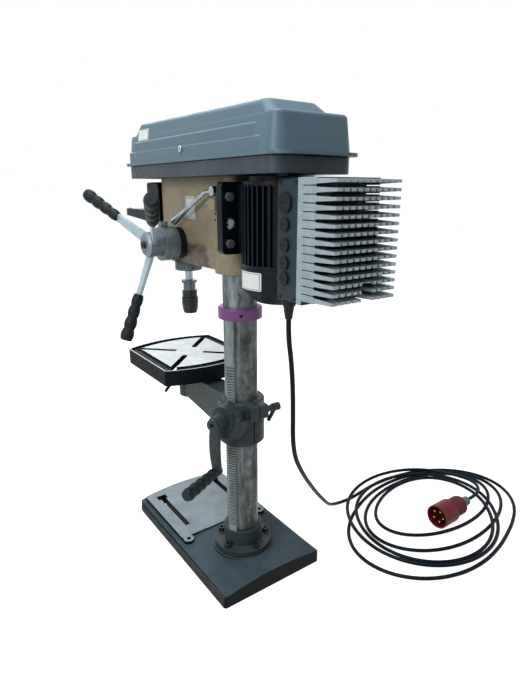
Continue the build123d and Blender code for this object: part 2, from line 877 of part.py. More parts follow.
with BuildPart() as feed_arms:
    for plane in arm_planes:
        with BuildSketch(plane.offset(15.5)):
            Rectangle(feed_arm_width, feed_arm_thick)
        with BuildSketch(plane.offset(40)):
            Rectangle(feed_arm_width, feed_arm_thick)
        loft()
        with BuildSketch(plane.offset(40)):
            Rectangle(feed_arm_width, feed_arm_thick)
        with BuildSketch(plane.offset(feed_grip_start)):
            Rectangle(feed_arm_tip_width, feed_arm_thick)
        loft()
        with Locations(plane.offset(feed_grip_start)):
            Cylinder(4, feed_grip_end - feed_grip_start - 8, align=UP)
save(feed_arms, "feed_arms")

with BuildPart() as feed_grips:
    for plane in arm_planes:
        with BuildSketch(Plane(origin=plane.origin, x_dir=plane.x_dir, z_dir=-plane.y_dir)):
            add(grip_outline(feed_grip_start, feed_grip_end, feed_grip_r, feed_grip_tip_r, 4, 0))
            make_face()
        revolve(axis=Axis(plane.origin, plane.z_dir))
    with Locations(*[plane.offset(feed_grip_start - 1) for plane in arm_planes]):
        Cylinder(
            4 + fixed_fit,
            feed_grip_end - feed_grip_start - 6.5,
            align=UP,
            mode=Mode.SUBTRACT,
        )
save(feed_grips, "feed_grips")

with BuildPart() as hub_screw:
    with Locations(facing_x(hub_end, feed_y, feed_z)):
        Cylinder(8, 5, align=UP)
        Cylinder(4 - fixed_fit, 3, align=DOWN)
    with BuildSketch(facing_x(hub_end + 5, feed_y, feed_z)):
        RegularPolygon(4, 6)
    extrude(amount=-3, mode=Mode.SUBTRACT)
save(hub_screw, "hub_screw")

with BuildPart() as depth_ring:
    with Locations(facing_x(depth_start, feed_y, feed_z)):
        Cylinder(depth_r, depth_end - depth_start, align=UP)
    with Locations((80, feed_y, feed_z)):
        Box(16, 16, depth_lug_r, align=(Align.CENTER, Align.CENTER, Align.MIN))
    with Locations(facing_y(80, feed_y - 12, feed_z + 42)):
        Cylinder(4, 24, align=UP)
    with Locations(facing_x(0, feed_y, feed_z)):
        Cylinder(depth_sleeve_r + running_fit, 200, align=UP, mode=Mode.SUBTRACT)
save(depth_ring, "depth_ring")

# Clamp lever for the slide bars: a level neck, a bend and a handle that thickens
neck_end = Vector(lever_x, lever_y - lever_neck, lever_z - 3)
lever_tip = Vector(lever_x, lever_y - lever_reach, lever_z - lever_drop)
lever_run = (lever_tip - neck_end).length
lever_plane = Plane(origin=neck_end, x_dir=(1, 0, 0), z_dir=(lever_tip - neck_end).normalized())
lever_middle = neck_end + (lever_tip - neck_end) * 0.35
with BuildPart() as motor_lever:
    with Locations(facing_x(32, lever_y, lever_z)):
        Cylinder(6, 30, align=UP)
    with Locations(facing_x(lever_x - 7, lever_y, lever_z)):
        Cylinder(9, 13, align=UP)
    with BuildLine() as lever_path:
        FilletPolyline((lever_x, lever_y, lever_z), tuple(neck_end), tuple(lever_middle), radius=40)
    with BuildSketch(Plane(origin=(lever_x, lever_y, lever_z), z_dir=tuple(lever_path.line % 0))):
        Circle(lever_r)
    sweep()
    with BuildSketch(lever_plane.offset(0.35 * lever_run - 1)):
        Circle(lever_r)
    with BuildSketch(lever_plane.offset(lever_run - 2)):
        Circle(lever_end_r)
    loft()
    with Locations(lever_plane.offset(lever_run - 2)):
        Cylinder(lever_end_r - 1, 2, align=UP)
save(motor_lever, "motor_lever")

# Belt tray with the two hinge pins on its left edge
with BuildPart() as belt_tray:
    with BuildSketch(Plane.XY.offset(head_top)):
        with Locations((0, (tray_front + tray_rear) / 2)):
            RectangleRounded(2 * tray_half_width, tray_rear - tray_front, tray_corner)
    extrude(amount=tray_top - head_top - 0.5)
    with BuildSketch(Plane.XY.offset(head_top + tray_floor)):
        with Locations((0, (tray_front + tray_rear) / 2)):
            RectangleRounded(
                2 * (tray_half_width - tray_wall),
                tray_rear - tray_front - 2 * tray_wall,
                tray_corner - tray_wall,
            )
    extrude(amount=60, mode=Mode.SUBTRACT)
    with Locations((0, spindle_y, head_top)):
        Cylinder(sleeve_bearing_r + 2, 20, mode=Mode.SUBTRACT)
    with BuildSketch(Plane.XY.offset(head_top)):
        with Locations((0, motor_y)):
            SlotCenterToCenter(30, 44, rotation=90)
    extrude(amount=20, both=True, mode=Mode.SUBTRACT)
    with Locations(*[facing_x(60, y, tray_top - 12) for y in (-319, -305)]):
        Cylinder(1.8, 40, align=UP, mode=Mode.SUBTRACT)
    for y in (-200, 90):
        with Locations((-tray_half_width, y, hinge_z - 9)):
            Box(12, 30, 5)
        with Locations(facing_y(hinge_x, y - 15, hinge_z)):
            Cylinder(hinge_knuckle_r, 30, align=UP)
        with Locations((-90.5, y, hinge_z - 6)):
            Box(9, 30, 6)
        with Locations(facing_y(hinge_x, y - 34, hinge_z)):
            Cylinder(hinge_pin_r, 68, align=UP)
save(belt_tray, "belt_tray")

cover_low = tray_top + 0.5
cover_front = lip_front + lip_end
cover_rear = lip_rear - lip_end


def cover_form(inset):
    """The cover's closed form, drawn in by an even amount: a drafted box with a raised crown."""
    front = cover_front + inset
    rear = cover_rear - inset
    side = tray_half_width - inset
    ledge = tray_top + ledge_rise - inset
    base_z = tray_top + crown_base_rise - inset
    crown_z = tray_top + cover_rise - inset
    left = crown_left - side
    right = side - (base_z - cover_low) * tan(radians(cover_draft)) - 0.2
    with BuildPart() as form:
        with BuildSketch(Plane.XY.offset(cover_low)):
            with Locations((0, (front + rear) / 2)):
                RectangleRounded(2 * side, rear - front, cover_corner - inset)
        extrude(amount=ledge - cover_low, taper=cover_draft)
        fillet(form.faces().sort_by(Axis.Z)[-1].edges(), cover_edge_r - inset)
        front += crown_front
        rear -= crown_rear
        with BuildSketch(Plane.XY.offset(base_z)):
            with Locations(((left + right) / 2, (front + rear) / 2)):
                RectangleRounded(right - left, rear - front, crown_corner)
        front += crown_front_slope
        rear -= crown_rear_slope
        left += crown_left_slope
        right -= crown_right_slope
        middle = (0, (front + rear) / 2, crown_z - cover_fall / 2)
        lean = (0, cover_fall / (rear - front), 1)
        with BuildSketch(Plane(origin=middle, x_dir=(1, 0, 0), z_dir=lean)):
            with Locations(((left + right) / 2, 0)):
                RectangleRounded(right - left, rear - front, crown_corner - 2)
        loft()
        fillet(form.faces().sort_by(Axis.Z)[-1].edges(), crown_edge_r - inset)
    return form.part


def terrace(half_width, front, rear, top):
    """One step of the cover's sides, with a slanted upper edge."""
    with BuildPart() as step:
        with BuildSketch(Plane.XY.offset(lip_top - 1)):
            with Locations((0, (front + rear) / 2)):
                RectangleRounded(2 * half_width, rear - front, 8)
        extrude(amount=top - lip_top + 1)
        chamfer(step.edges().group_by(Axis.Z)[-1], terrace_bevel)
    return step.part


# Belt cover
cover_screw_z = tray_top + cover_screw_rise
with BuildPart() as belt_cover:
    with BuildSketch(Plane.XY.offset(cover_low)):
        with Locations((0, (lip_front + lip_rear) / 2)):
            RectangleRounded(2 * lip_half_width, lip_rear - lip_front, cover_corner + 4)
    extrude(amount=lip_top - cover_low)
    add(cover_form(0))
    add(terrace(tray_half_width - 0.4, cover_front + 14, cover_rear - 42, tray_top + terrace_low_rise))
    add(terrace(tray_half_width - 2.4, cover_front + 36, cover_rear - 56, tray_top + terrace_high_rise))
    add(cover_form(cover_wall), mode=Mode.SUBTRACT)
    for y in (-227, -173, 63, 117):
        with Locations((-91, y, hinge_z)):
            Box(6, 20, 4.8)
        with Locations(facing_y(hinge_x, y - 10, hinge_z)):
            Cylinder(hinge_knuckle_r, 20, align=UP)
    for y in (-200, 90):
        with Locations((hinge_x, y, hinge_z)):
            Box(18, 31, 30, mode=Mode.SUBTRACT)
        with Locations(facing_y(hinge_x, y - 50, hinge_z)):
            Cylinder(hinge_pin_r + 0.1, 100, align=UP, mode=Mode.SUBTRACT)
    with Locations(facing_x(tray_half_width - 26, cover_screw_y, cover_screw_z)):
        Cylinder(3 + fixed_fit, 40, align=UP, mode=Mode.SUBTRACT)
    with Locations(*[facing_x(60, y, tray_top + 17) for y in (-327, -311)]):
        Cylinder(1.8, 40, align=UP, mode=Mode.SUBTRACT)
save(belt_cover, "belt_cover")

with BuildPart() as cover_screw:
    with Locations(facing_x(tray_half_width - 0.4, cover_screw_y, cover_screw_z)):
        Cylinder(6.5, 4, align=UP)
        Cylinder(3, 8, align=DOWN)
    fillet(cover_screw.edges().group_by(Axis.X)[-1], 1.5)
    with Locations((tray_half_width + 3.6, cover_screw_y, cover_screw_z)):
        Box(3, 14, 1.6, mode=Mode.SUBTRACT)
save(cover_screw, "cover_screw")

# Motor slide: bars, plate, housing
with BuildPart() as slide_bars:
    with Locations(
        facing_y(slide_bar_x, slide_bar_front, slide_bar_z),
        facing_y(-slide_bar_x, slide_bar_front, slide_bar_z),
    ):
        Cylinder(slide_bar_r, motor_plate_front - slide_bar_front, align=UP)
save(slide_bars, "slide_bars")

bolt_places = [
    (side * motor_bolt_x, z) for side in (-1, 1) for z in (motor_bolt_high, motor_bolt_low)
]
with BuildPart() as motor_plate:
    with BuildSketch(Plane.XZ.offset(-motor_plate_rear)):
        with Locations((0, (motor_plate_bottom + motor_top) / 2)):
            RectangleRounded(2 * motor_half_width, motor_top - motor_plate_bottom, 9)
    extrude(amount=motor_plate_rear - motor_plate_front)
    with Locations(*[facing_y(x, motor_plate_front, z) for x, z in bolt_places]):
        Cylinder(5, 60, mode=Mode.SUBTRACT)
save(motor_plate, "motor_plate")

with BuildPart() as motor_housing:
    with Locations((0, motor_y, motor_bottom)):
        Cylinder(motor_core_r, motor_top - motor_bottom, align=UP)
        Cylinder(motor_fin_r, 7, align=UP)
    with Locations((0, motor_y, motor_top - 8)):
        Cylinder(motor_fin_r - 2, 8, align=UP)
        Cylinder(motor_shield_r, 8 + motor_shield_h, align=UP)
    for start in (-54, 126):
        with BuildSketch(Plane.XY.offset(motor_bottom + 3)):
            with Locations((0, motor_y)):
                with PolarLocations(motor_core_r + 3, 13, start, 108, endpoint=True):
                    Rectangle(2 * (motor_fin_r - motor_core_r - 3), 3)
        extrude(amount=motor_top - motor_bottom - 8)
    with BuildSketch(Plane.XZ.offset(-motor_foot_rear)):
        with Locations((0, (motor_plate_bottom + motor_top) / 2)):
            RectangleRounded(2 * motor_half_width, motor_top - motor_plate_bottom, 9)
    extrude(amount=motor_foot_rear - motor_plate_rear)
    with Locations((0, 85, (motor_plate_bottom + motor_top) / 2)):
        Box(90, 36, motor_top - motor_plate_bottom - 4)
    with Locations((0, 203, 792)):
        Box(104, 2 * (inverter_front - 203), 140)
    with Locations((0, motor_y, motor_bottom - 1)):
        Cylinder(motor_bore_r, motor_top - motor_bottom - 9, align=UP, mode=Mode.SUBTRACT)
        Cylinder(motor_shaft_r + running_fit, 200, align=UP, mode=Mode.SUBTRACT)
    with Locations(*[facing_y(x, motor_foot_rear, z) for x, z in bolt_places]):
        Cylinder(5, 60, mode=Mode.SUBTRACT)
save(motor_housing, "motor_housing")

with BuildPart() as motor_bolts:
    for x, z in bolt_places:
        with BuildSketch(facing_y(x, motor_foot_rear, z)):
            RegularPolygon(8.5, 6)
        extrude(amount=6.5)
        with Locations(facing_y(x, motor_plate_front, z)):
            Cylinder(5 - fixed_fit, motor_foot_rear - motor_plate_front + 1, align=UP)
    with Locations(facing_y(tension_x, tension_front, tension_z)):
        Cylinder(tension_r, motor_plate_front - tension_front, align=UP)
    with BuildSketch(facing_y(tension_x, tension_front, tension_z)):
        RegularPolygon(7.5, 6)
    extrude(amount=9)
save(motor_bolts, "motor_bolts")

with BuildPart() as fan_cowl:
    with BuildSketch(Plane.XZ.offset(-motor_y)):
        Polygon(
            (0, cowl_bottom),
            (cowl_floor_r, cowl_bottom),
            (cowl_r, cowl_bottom + cowl_cone_h),
            (cowl_r, motor_bottom),
            (cowl_r - cowl_wall, motor_bottom),
            (cowl_r - cowl_wall, cowl_bottom + cowl_cone_h + 1),
            (cowl_floor_r - 1, cowl_bottom + cowl_wall),
            (0, cowl_bottom + cowl_wall),
            align=None,
        )
    revolve(axis=Axis((0, motor_y, 0), (0, 0, 1)))
    with BuildSketch(Plane.XY.offset(cowl_bottom)):
        for r in (14, 26, 38):
            with Locations((0, motor_y)):
                with PolarLocations(r, int(r / 3)):
                    Circle(3.2)
    extrude(amount=10, both=True, mode=Mode.SUBTRACT)
save(fan_cowl, "fan_cowl")

with BuildPart() as motor_rotor:
    with Locations((0, motor_y, motor_shaft_bottom)):
        Cylinder(motor_shaft_r, motor_shaft_top - motor_shaft_bottom, align=UP)
    with Locations((0, motor_y, fan_bottom)):
        Cylinder(fan_r * 0.4, fan_h, align=UP)
    with BuildSketch(Plane.XY.offset(fan_bottom)):
        with Locations((0, motor_y)):
            with PolarLocations(fan_r * 0.6, 8):
                Rectangle(fan_r * 0.8, 3)
    extrude(amount=fan_h)
    with Locations((0, motor_y, fan_bottom + fan_h - 2)):
        Cylinder(fan_r, 2.5, align=UP)
    with Locations((0, motor_y, rotor_bottom)):
        Cylinder(rotor_r, rotor_h, align=UP)
save(motor_rotor, "motor_rotor")

with BuildPart() as motor_pulley:
    with BuildSketch(Plane.XZ.offset(-motor_y)):
        Polygon(*pulley_outline(motor_steps, motor_shaft_r + fixed_fit), align=None)
    revolve(axis=Axis((0, motor_y, 0), (0, 0, 1)))
save(motor_pulley, "motor_pulley")

# V-belt on the middle steps
belt_z = pulley_base + 1.5 * step_h
belt_r1 = spindle_steps[1] - groove_depth + belt_gap + 3
belt_r2 = motor_steps[1] - groove_depth + belt_gap + 3
belt_lean = asin((belt_r1 - belt_r2) / (motor_y - spindle_y))
belt_c = cos(belt_lean)
belt_s = sin(belt_lean)
belt_a = (belt_r1 * belt_c, spindle_y + belt_r1 * belt_s, belt_z)
belt_b = (belt_r2 * belt_c, motor_y + belt_r2 * belt_s, belt_z)
with BuildPart() as drive_belt:
    with BuildLine() as belt_path:
        Line(belt_a, belt_b)
        ThreePointArc(belt_b, (0, motor_y + belt_r2, belt_z), (-belt_b[0], belt_b[1], belt_z))
        Line((-belt_b[0], belt_b[1], belt_z), (-belt_a[0], belt_a[1], belt_z))
        ThreePointArc((-belt_a[0], belt_a[1], belt_z), (0, spindle_y - belt_r1, belt_z), belt_a)
    with BuildSketch(Plane(origin=belt_a, x_dir=(belt_c, belt_s, 0), z_dir=(-belt_s, belt_c, 0))):
        Polygon((-3, -2.4), (3.4, -4.2), (3.4, 4.2), (-3, 2.4), align=None)
    sweep()
save(drive_belt, "drive_belt")

# Inverter on the rear of the motor
plug_places = ((833, 16), (800, 11), (768, 11), (740, 11), (715, 11))
with BuildPart() as inverter_case:
    with BuildSketch(Plane.XZ.offset(-inverter_rear)):
        with Locations((0, (inverter_bottom + inverter_top) / 2)):
            RectangleRounded(2 * inverter_half_width, inverter_top - inverter_bottom, 6)
    extrude(amount=inverter_rear - inverter_front)
    with Locations((0, inverter_front + inverter_wall, (inverter_bottom + inverter_top) / 2)):
        Box(
            2 * (inverter_half_width - inverter_wall),
            60,
            inverter_top - inverter_bottom - 2 * inverter_wall,
            align=(Align.CENTER, Align.MIN, Align.CENTER),
            mode=Mode.SUBTRACT,
        )
    with Locations(*[facing_x(50, plug_y, z) for z, r in plug_places]):
        Cylinder(6, 60, align=UP, mode=Mode.SUBTRACT)
    with Locations((gland_x, gland_y, inverter_bottom)):
        Cylinder(5.5, 20, mode=Mode.SUBTRACT)
save(inverter_case, "inverter_case")

with BuildPart() as blanking_plugs:
    for z, r in plug_places:
        with Locations(facing_x(inverter_half_width, plug_y, z)):
            Cylinder(r, 4, align=UP)
            Cylinder(6 - fixed_fit, 3, align=DOWN)
        with Locations((inverter_half_width + 4, plug_y, z)):
            Box(2.4, 1.2 * r, 2.5, mode=Mode.SUBTRACT)
save(blanking_plugs, "blanking_plugs")

sink_low = inverter_bottom + 13
with BuildPart() as heat_sink:
    with Locations((0, inverter_rear, inverter_bottom)):
        Box(
            2 * inverter_half_width,
            12,
            inverter_top - inverter_bottom,
            align=(Align.CENTER, Align.MIN, Align.MIN),
        )
    with BuildSketch(Plane.YZ.offset(-inverter_half_width)):
        with Locations(*[(0, sink_low + i * sink_pitch) for i in range(sink_rows)]):
            Polygon(
                (inverter_rear + 8, -sink_root_thick / 2),
                (sink_root, -sink_root_thick / 2),
                (sink_root, -sink_mid_thick / 2),
                (sink_tip, -sink_tip_thick / 2),
                (sink_tip, sink_tip_thick / 2),
                (sink_root, sink_mid_thick / 2),
                (sink_root, sink_root_thick / 2),
                (inverter_rear + 8, sink_root_thick / 2),
                align=None,
            )
    extrude(amount=2 * inverter_half_width)
    with Locations((0, sink_root, (inverter_bottom + inverter_top) / 2)):
        with GridLocations(2 * (inverter_half_width - 14) / (sink_columns - 2), 1, sink_columns - 1, 1):
            Box(
                5,
                100,
                300,
                align=(Align.CENTER, Align.MIN, Align.CENTER),
                mode=Mode.SUBTRACT,
            )
    with Locations((-6, inverter_rear + 20, inverter_bottom - 1)):
        Box(26, 200, 40, align=(Align.CENTER, Align.MIN, Align.MIN), mode=Mode.SUBTRACT)
save(heat_sink, "heat_sink")

with BuildPart() as cable_gland:
    with BuildSketch(Plane.XY.offset(inverter_bottom)):
        with Locations((gland_x, gland_y)):
            RegularPolygon(12, 6)
    extrude(amount=-9)
    with BuildSketch(Plane.XY.offset(inverter_bottom - 9)):
        with Locations((gland_x, gland_y)):
            Circle(9.5)
    with BuildSketch(Plane.XY.offset(gland_end)):
        with Locations((gland_x, gland_y)):
            Circle(6.2)
    loft()
    with Locations((gland_x, gland_y, inverter_bottom)):
        Cylinder(5.5 - fixed_fit, inverter_wall, align=UP)
save(cable_gland, "cable_gland")

# Mains cord: the free stretch from the gland to the floor
cord_z = cord_r + floor_gap
coil_start = (coil_x, coil_y - coil_short)


def lobe(a, way):
    """How far a loose turn has slid out towards one side: 1 there, 0 on the other half."""
    return max(cos(a - radians(way)), 0) ** 2


def coil_point(t):
    """A point of the coil after t turns: in on the floor, up in half a turn, out on top."""
    depth = t if t < coil_reverse else 2 * coil_reverse - t
    climb = min(max((t - coil_reverse + 0.25) / 0.5, 0), 1)
    climb = climb * climb * (3 - 2 * climb)
    a = -pi / 2 - 2 * pi * t
    low_spread = max(coil_spread - coil_spread_step * depth, 0) * lobe(a, coil_spread_way)
    low_in = low_spread - coil_step * depth
    low_x = coil_x + coil_drift_x * depth + (coil_long + low_in) * cos(a)
    low_y = coil_y + coil_drift_y * depth + (coil_short + low_in) * sin(a)
    high_in = upper_spread * lobe(a, upper_spread_way) - upper_step * depth
    high_x = upper_x + upper_drift_x * depth + (upper_long + high_in) * cos(a)
    high_y = upper_y + upper_drift_y * depth + (upper_short + high_in) * sin(a)
    return Vector(
        low_x + climb * (high_x - low_x),
        low_y + climb * (high_y - low_y),
        cord_z + climb * coil_layer,
    )


def coil_heading(t):
    """The way the coil runs after t turns."""
    step = 1e-4
    return (coil_point(t + step) - coil_point(max(t - step, 0))).normalized()


def bend_radii(points):
    """The largest bend that leaves a straight middle in every run."""
    radii = []
    for a, b, c in zip(points, points[1:], points[2:]):
        first = Vector(*b) - Vector(*a)
        second = Vector(*c) - Vector(*b)
        turn = radians(first.get_angle(second))
        radii.append(0.45 * min(first.length, second.length) / tan(turn / 2))
    return radii


cord_points = [
    (gland_x, gland_y, gland_end),
    (gland_x, gland_y, 612),
    (42, 226, 568),
    (33, 221, 510),
    (29, 218, 455),
    (27, 216, 405),
    (12, 206, 358),
    (-20, 185, 312),
    (-60, 158, 262),
    (-103, 130, 212),
    (-150, 99, 160),
    (-196, 68, 112),
    (-240, 37, 68),
    (-282, 6, 30),
    (-328, -9, 9),
    (-374, -10, cord_z),
    (-420, -15, cord_z),
    (-468, coil_start[1], cord_z),
    (coil_start[0], coil_start[1], cord_z),
]
cord_bends = bend_radii(cord_points)
print("cord bend radii", [round(r) for r in cord_bends])
with BuildPart() as mains_cord:
    with BuildLine() as cord_path:
        FilletPolyline(*cord_points, radius=cord_bends)
    with BuildSketch(Plane(origin=cord_points[0], x_dir=(1, 0, 0), z_dir=(0, 0, -1))):
        Circle(cord_r)
    sweep()
print(
    "cord length",
    round(cord_path.wire().length),
    "volume over section",
    round(mains_cord.part.volume / (pi * cord_r**2)),
)
save(mains_cord, "mains_cord")

# The coil on the floor, one unbroken tube of arcs, two to a quarter turn
coil_steps = ceil(4 * coil_turns)
coil_knots = [coil_point(i * coil_turns / coil_steps) for i in range(coil_steps + 1)]
coil_ways = [coil_heading(i * coil_turns / coil_steps) for i in range(coil_steps + 1)]
coil_ways[0] = Vector(-1, 0, 0)
with BuildPart() as cord_coil:
    with BuildLine() as coil_path:
        for p0, p1, t0, t1 in zip(coil_knots, coil_knots[1:], coil_ways, coil_ways[1:]):
            v = p1 - p0
            s = t0 + t1
            qa = 2 * (t0.dot(t1) - 1)
            qb = -2 * v.dot(s)
            qc = v.dot(v)
            d = (-qb - sqrt(qb * qb - 4 * qa * qc)) / (2 * qa)
            joint = (p0 + p1 + (t0 - t1) * d) * 0.5
            way = (v - s * d).normalized()
            TangentArc(p0, joint, tangent=t0)
            TangentArc(joint, p1, tangent=way)
    with BuildSketch(Plane(origin=coil_knots[0], x_dir=(0, 1, 0), z_dir=(-1, 0, 0))):
        Circle(cord_r)
    sweep()
coil_wire = coil_path.wire()
coil_count = ceil(coil_wire.length / 4)
coil_marks = [tuple(coil_wire.position_at(i / coil_count)) for i in range(coil_count + 1)]
coil_gap = min(
    dist(coil_marks[j], coil_marks[i])
    for i in range(coil_count)
    for j in range(i + 30, coil_count + 1)
)
print(
    "coil length",
    round(coil_wire.length),
    "volume over section",
    round(cord_coil.part.volume / (pi * cord_r**2)),
    "least gap",
    round(coil_gap - 2 * cord_r, 2),
)
save(cord_coil, "cord_coil")

# The stretch from the coil to the plug
plug_z = plug_r + floor_gap
tail_way = coil_ways[-1]
tail_start = coil_knots[-1]
tail_points = [
    tuple(tail_start),
    tuple(tail_start + tail_way * 30),
    (plug_rear - 122, plug_line - 72, 19),
    (plug_rear - 108, plug_line - 38, 25),
    (plug_rear - 80, plug_line - 13, 29),
    (plug_rear - 42, plug_line, plug_z),
    (plug_rear, plug_line, plug_z),
]
tail_bends = bend_radii(tail_points)
print("tail bend radii", [round(r) for r in tail_bends])
with BuildPart() as plug_tail:
    with BuildLine() as tail_path:
        FilletPolyline(*tail_points, radius=tail_bends)
    with BuildSketch(Plane(origin=tail_points[0], z_dir=tuple(tail_path.line % 0))):
        Circle(cord_r)
    sweep()
print(
    "tail length",
    round(tail_path.wire().length),
    "volume over section",
    round(plug_tail.part.volume / (pi * cord_r**2)),
)
tail_marks = [tuple(tail_path.wire().position_at(i / 40)) for i in range(41)]
print(
    "tail to coil",
    round(min(dist(a, b) for a in tail_marks[6:] for b in coil_marks[:-30]) - 2 * cord_r, 2),
)
save(plug_tail, "plug_tail")

# Plug: shell with a hollow skirt round its five pins
plug_plane = facing_x(plug_rear, plug_line, plug_z)
with BuildPart() as plug_body:
    with BuildSketch(Plane(origin=plug_plane.origin, x_dir=(0, -1, 0), z_dir=(0, 0, 1))):
        Polygon(
            (0, 0),
            (12, 0),
            (14, 18),
            (24, 32),
            (24, 72),
            (plug_r, 78),
            (plug_r, plug_length),
            (0, plug_length),
            align=None,
        )
    revolve(axis=Axis(plug_plane.origin, plug_plane.z_dir))
    with Locations(plug_plane.offset(plug_length)):
        Cylinder(plug_r - 3.5, plug_skirt, align=DOWN, mode=Mode.SUBTRACT)
save(plug_body, "plug_body")

with BuildPart() as plug_pins:
    with Locations(plug_plane.offset(plug_length - plug_skirt)):
        with PolarLocations(plug_pin_circle, 5):
            Cylinder(plug_pin_r, plug_skirt - 5, align=UP)
save(plug_pins, "plug_pins")

# Rack that swings round the column with the table
gear_z = crank_z - worm_drop
gear_r = rack_pitch_r + lift_teeth * lift_module / 2
lift_pitch = pi * lift_module
with BuildPart() as table_rack:
    with BuildSketch(Plane.XY.offset(foot_sleeve_top + 0.5)):
        with PolarLocations((rack_pitch_r + rack_tip) / 2, 1, bearing_angle):
            Rectangle(rack_pitch_r + rack_tip, rack_width)
        Circle(column_r + swing_fit, mode=Mode.SUBTRACT)
    extrude(amount=collar_bottom - foot_sleeve_top - 1)
    rack_up = int((rack_tooth_top - gear_z) / lift_pitch)
    rack_down = int((gear_z - foot_sleeve_top - 12) / lift_pitch)
    with BuildSketch(facing_round(rack_pitch_r, gear_z, -rack_width)):
        with Locations(*[(0, i * lift_pitch) for i in range(-rack_up, rack_down)]):
            add(rack_space(lift_module, rack_tip, rack_root))
    extrude(amount=2 * rack_width, mode=Mode.SUBTRACT)
save(table_rack, "table_rack")

# Table bracket: hub on the column, gear housing, arm and table boss
with BuildPart() as table_bracket:
    with Locations((0, 0, hub_bottom)):
        Cylinder(hub_r, hub_top - hub_bottom, align=UP)
    chamfer(table_bracket.edges().filter_by(GeomType.CIRCLE), 3)
    with Locations((0, table_pivot_y, table_boss_bottom)):
        Cylinder(table_boss_r, table_bottom - table_boss_bottom, align=UP)
    arm_end = (table_pivot_y, table_boss_bottom + 6)
    arm_root = (-20, hub_bottom + 6)
    with BuildSketch(Plane.YZ.offset(-arm_half_width)):
        with BuildLine():
            ThreePointArc(arm_root, (-95, arm_root[1] + arm_arch), arm_end)
            Line(arm_end, (table_pivot_y, table_bottom - 8))
            Line((table_pivot_y, table_bottom - 8), (-20, hub_top - 4))
            Line((-20, hub_top - 4), arm_root)
        make_face()
    extrude(amount=2 * arm_half_width)
    with Locations(facing_out(0, crank_z)):
        Cylinder(crank_boss_r, crank_boss_end, align=UP)
        Cylinder(crank_nose_r, crank_nose_end, align=UP)
    with Locations(facing_out(0, gear_z + 4)):
        Cylinder(gear_case_r, gear_case_end, align=UP)
    with Locations(facing_out(gear_case_end, gear_z + 4)):
        Cone(gear_case_r, gear_case_r - 10, 10, align=UP)
    with BuildSketch(facing_x(-22, 55, clamp_bolt_z)):
        RectangleRounded(36, 32, 7)
    extrude(amount=44)
    with Locations((0, 0, hub_bottom - 1)):
        Cylinder(column_r + swing_fit, 200, align=UP, mode=Mode.SUBTRACT)
    with Locations(Location((0, 0, hub_bottom - 1), (0, 0, bearing_angle))):
        Box(
            rack_pitch_r + rack_tip + swing_fit,
            rack_width + 2 * swing_fit,
            200,
            align=(Align.MIN, Align.CENTER, Align.MIN),
            mode=Mode.SUBTRACT,
        )
    with Locations((0, 20, hub_bottom - 1)):
        Box(
            clamp_slit,
            100,
            200,
            align=(Align.CENTER, Align.MIN, Align.MIN),
            mode=Mode.SUBTRACT,
        )
    with Locations(facing_round(gear_r, gear_z)):
        Cylinder(
            lift_teeth * lift_module / 2 + lift_module + 0.6,
            gear_width + 2 * swing_fit,
            mode=Mode.SUBTRACT,
        )
        Cylinder(gear_pin_r + running_fit, 48, mode=Mode.SUBTRACT)
    with Locations(facing_out(40, crank_z)):
        Cylinder(crank_shaft_r + running_fit, 80, align=UP, mode=Mode.SUBTRACT)
    with Locations(facing_x(0, clamp_bolt_y, clamp_bolt_z)):
        Cylinder(clamp_bolt_r + swing_fit, 100, mode=Mode.SUBTRACT)
    with Locations((0, table_pivot_y, table_boss_bottom - 1)):
        Cylinder(table_stem_r + running_fit, 200, align=UP, mode=Mode.SUBTRACT)
    with Locations(facing_x(table_stem_r, table_pivot_y, 400)):
        Cylinder(5 + running_fit, 40, align=UP, mode=Mode.SUBTRACT)
save(table_bracket, "table_bracket")

with BuildPart() as lift_gear:
    with BuildSketch(facing_round(gear_r, gear_z, -gear_width / 2)):
        add(gear_outline(lift_teeth, lift_module))
    extrude(amount=gear_width)
    with Locations(facing_round(gear_r, gear_z)):
        Cylinder(gear_pin_r, 46)
save(lift_gear, "lift_gear")

# Crank: shaft, arm and the pin that the grip turns on
grip_z = crank_z - crank_radius
with BuildPart() as crank:
    with Locations(facing_out(48, crank_z)):
        Cylinder(crank_shaft_r, crank_arm_start + crank_arm_thick - 48, align=UP)
    with BuildSketch(facing_out(crank_arm_start, crank_z)):
        Circle(crank_hub_r)
        with Locations((0, -crank_radius)):
            Circle(11)
        with BuildLine():
            ThreePointArc((-11, -6), (-15, -50), (-9, -crank_radius + 4))
            Line((-9, -crank_radius + 4), (9, -crank_radius + 4))
            ThreePointArc((9, -crank_radius + 4), (7, -55), (11, -6))
            Line((11, -6), (-11, -6))
        make_face()
    extrude(amount=crank_arm_thick)
    with Locations(facing_out(crank_arm_start + crank_arm_thick, crank_z)):
        Cylinder(crank_hub_r - 2.5, 9, align=UP)
    with BuildSketch(facing_out(crank_arm_start + crank_arm_thick + 9, crank_z)):
        RegularPolygon(5.5, 6)
    extrude(amount=-6, mode=Mode.SUBTRACT)
    with Locations(facing_out(crank_arm_start + crank_arm_thick, grip_z)):
        Cylinder(7, 3, align=UP)
        Cylinder(4, crank_grip_end - crank_arm_start - crank_arm_thick - 8, align=UP)
save(crank, "crank")

grip_start = crank_arm_start + crank_arm_thick + 3.4
with BuildPart() as crank_grip:
    grip_plane = facing_out(0, grip_z)
    with BuildSketch(Plane(origin=grip_plane.origin, x_dir=grip_plane.x_dir, z_dir=-grip_plane.y_dir)):
        add(grip_outline(grip_start, crank_grip_end, crank_grip_r, crank_grip_r + 2, 5, 0))
        make_face()
    revolve(axis=Axis(grip_plane.origin, grip_plane.z_dir))
    with Locations(facing_out(grip_start - 1, grip_z)):
        Cylinder(4 + swing_fit, crank_grip_end - grip_start - 5, align=UP, mode=Mode.SUBTRACT)
save(crank_grip, "crank_grip")

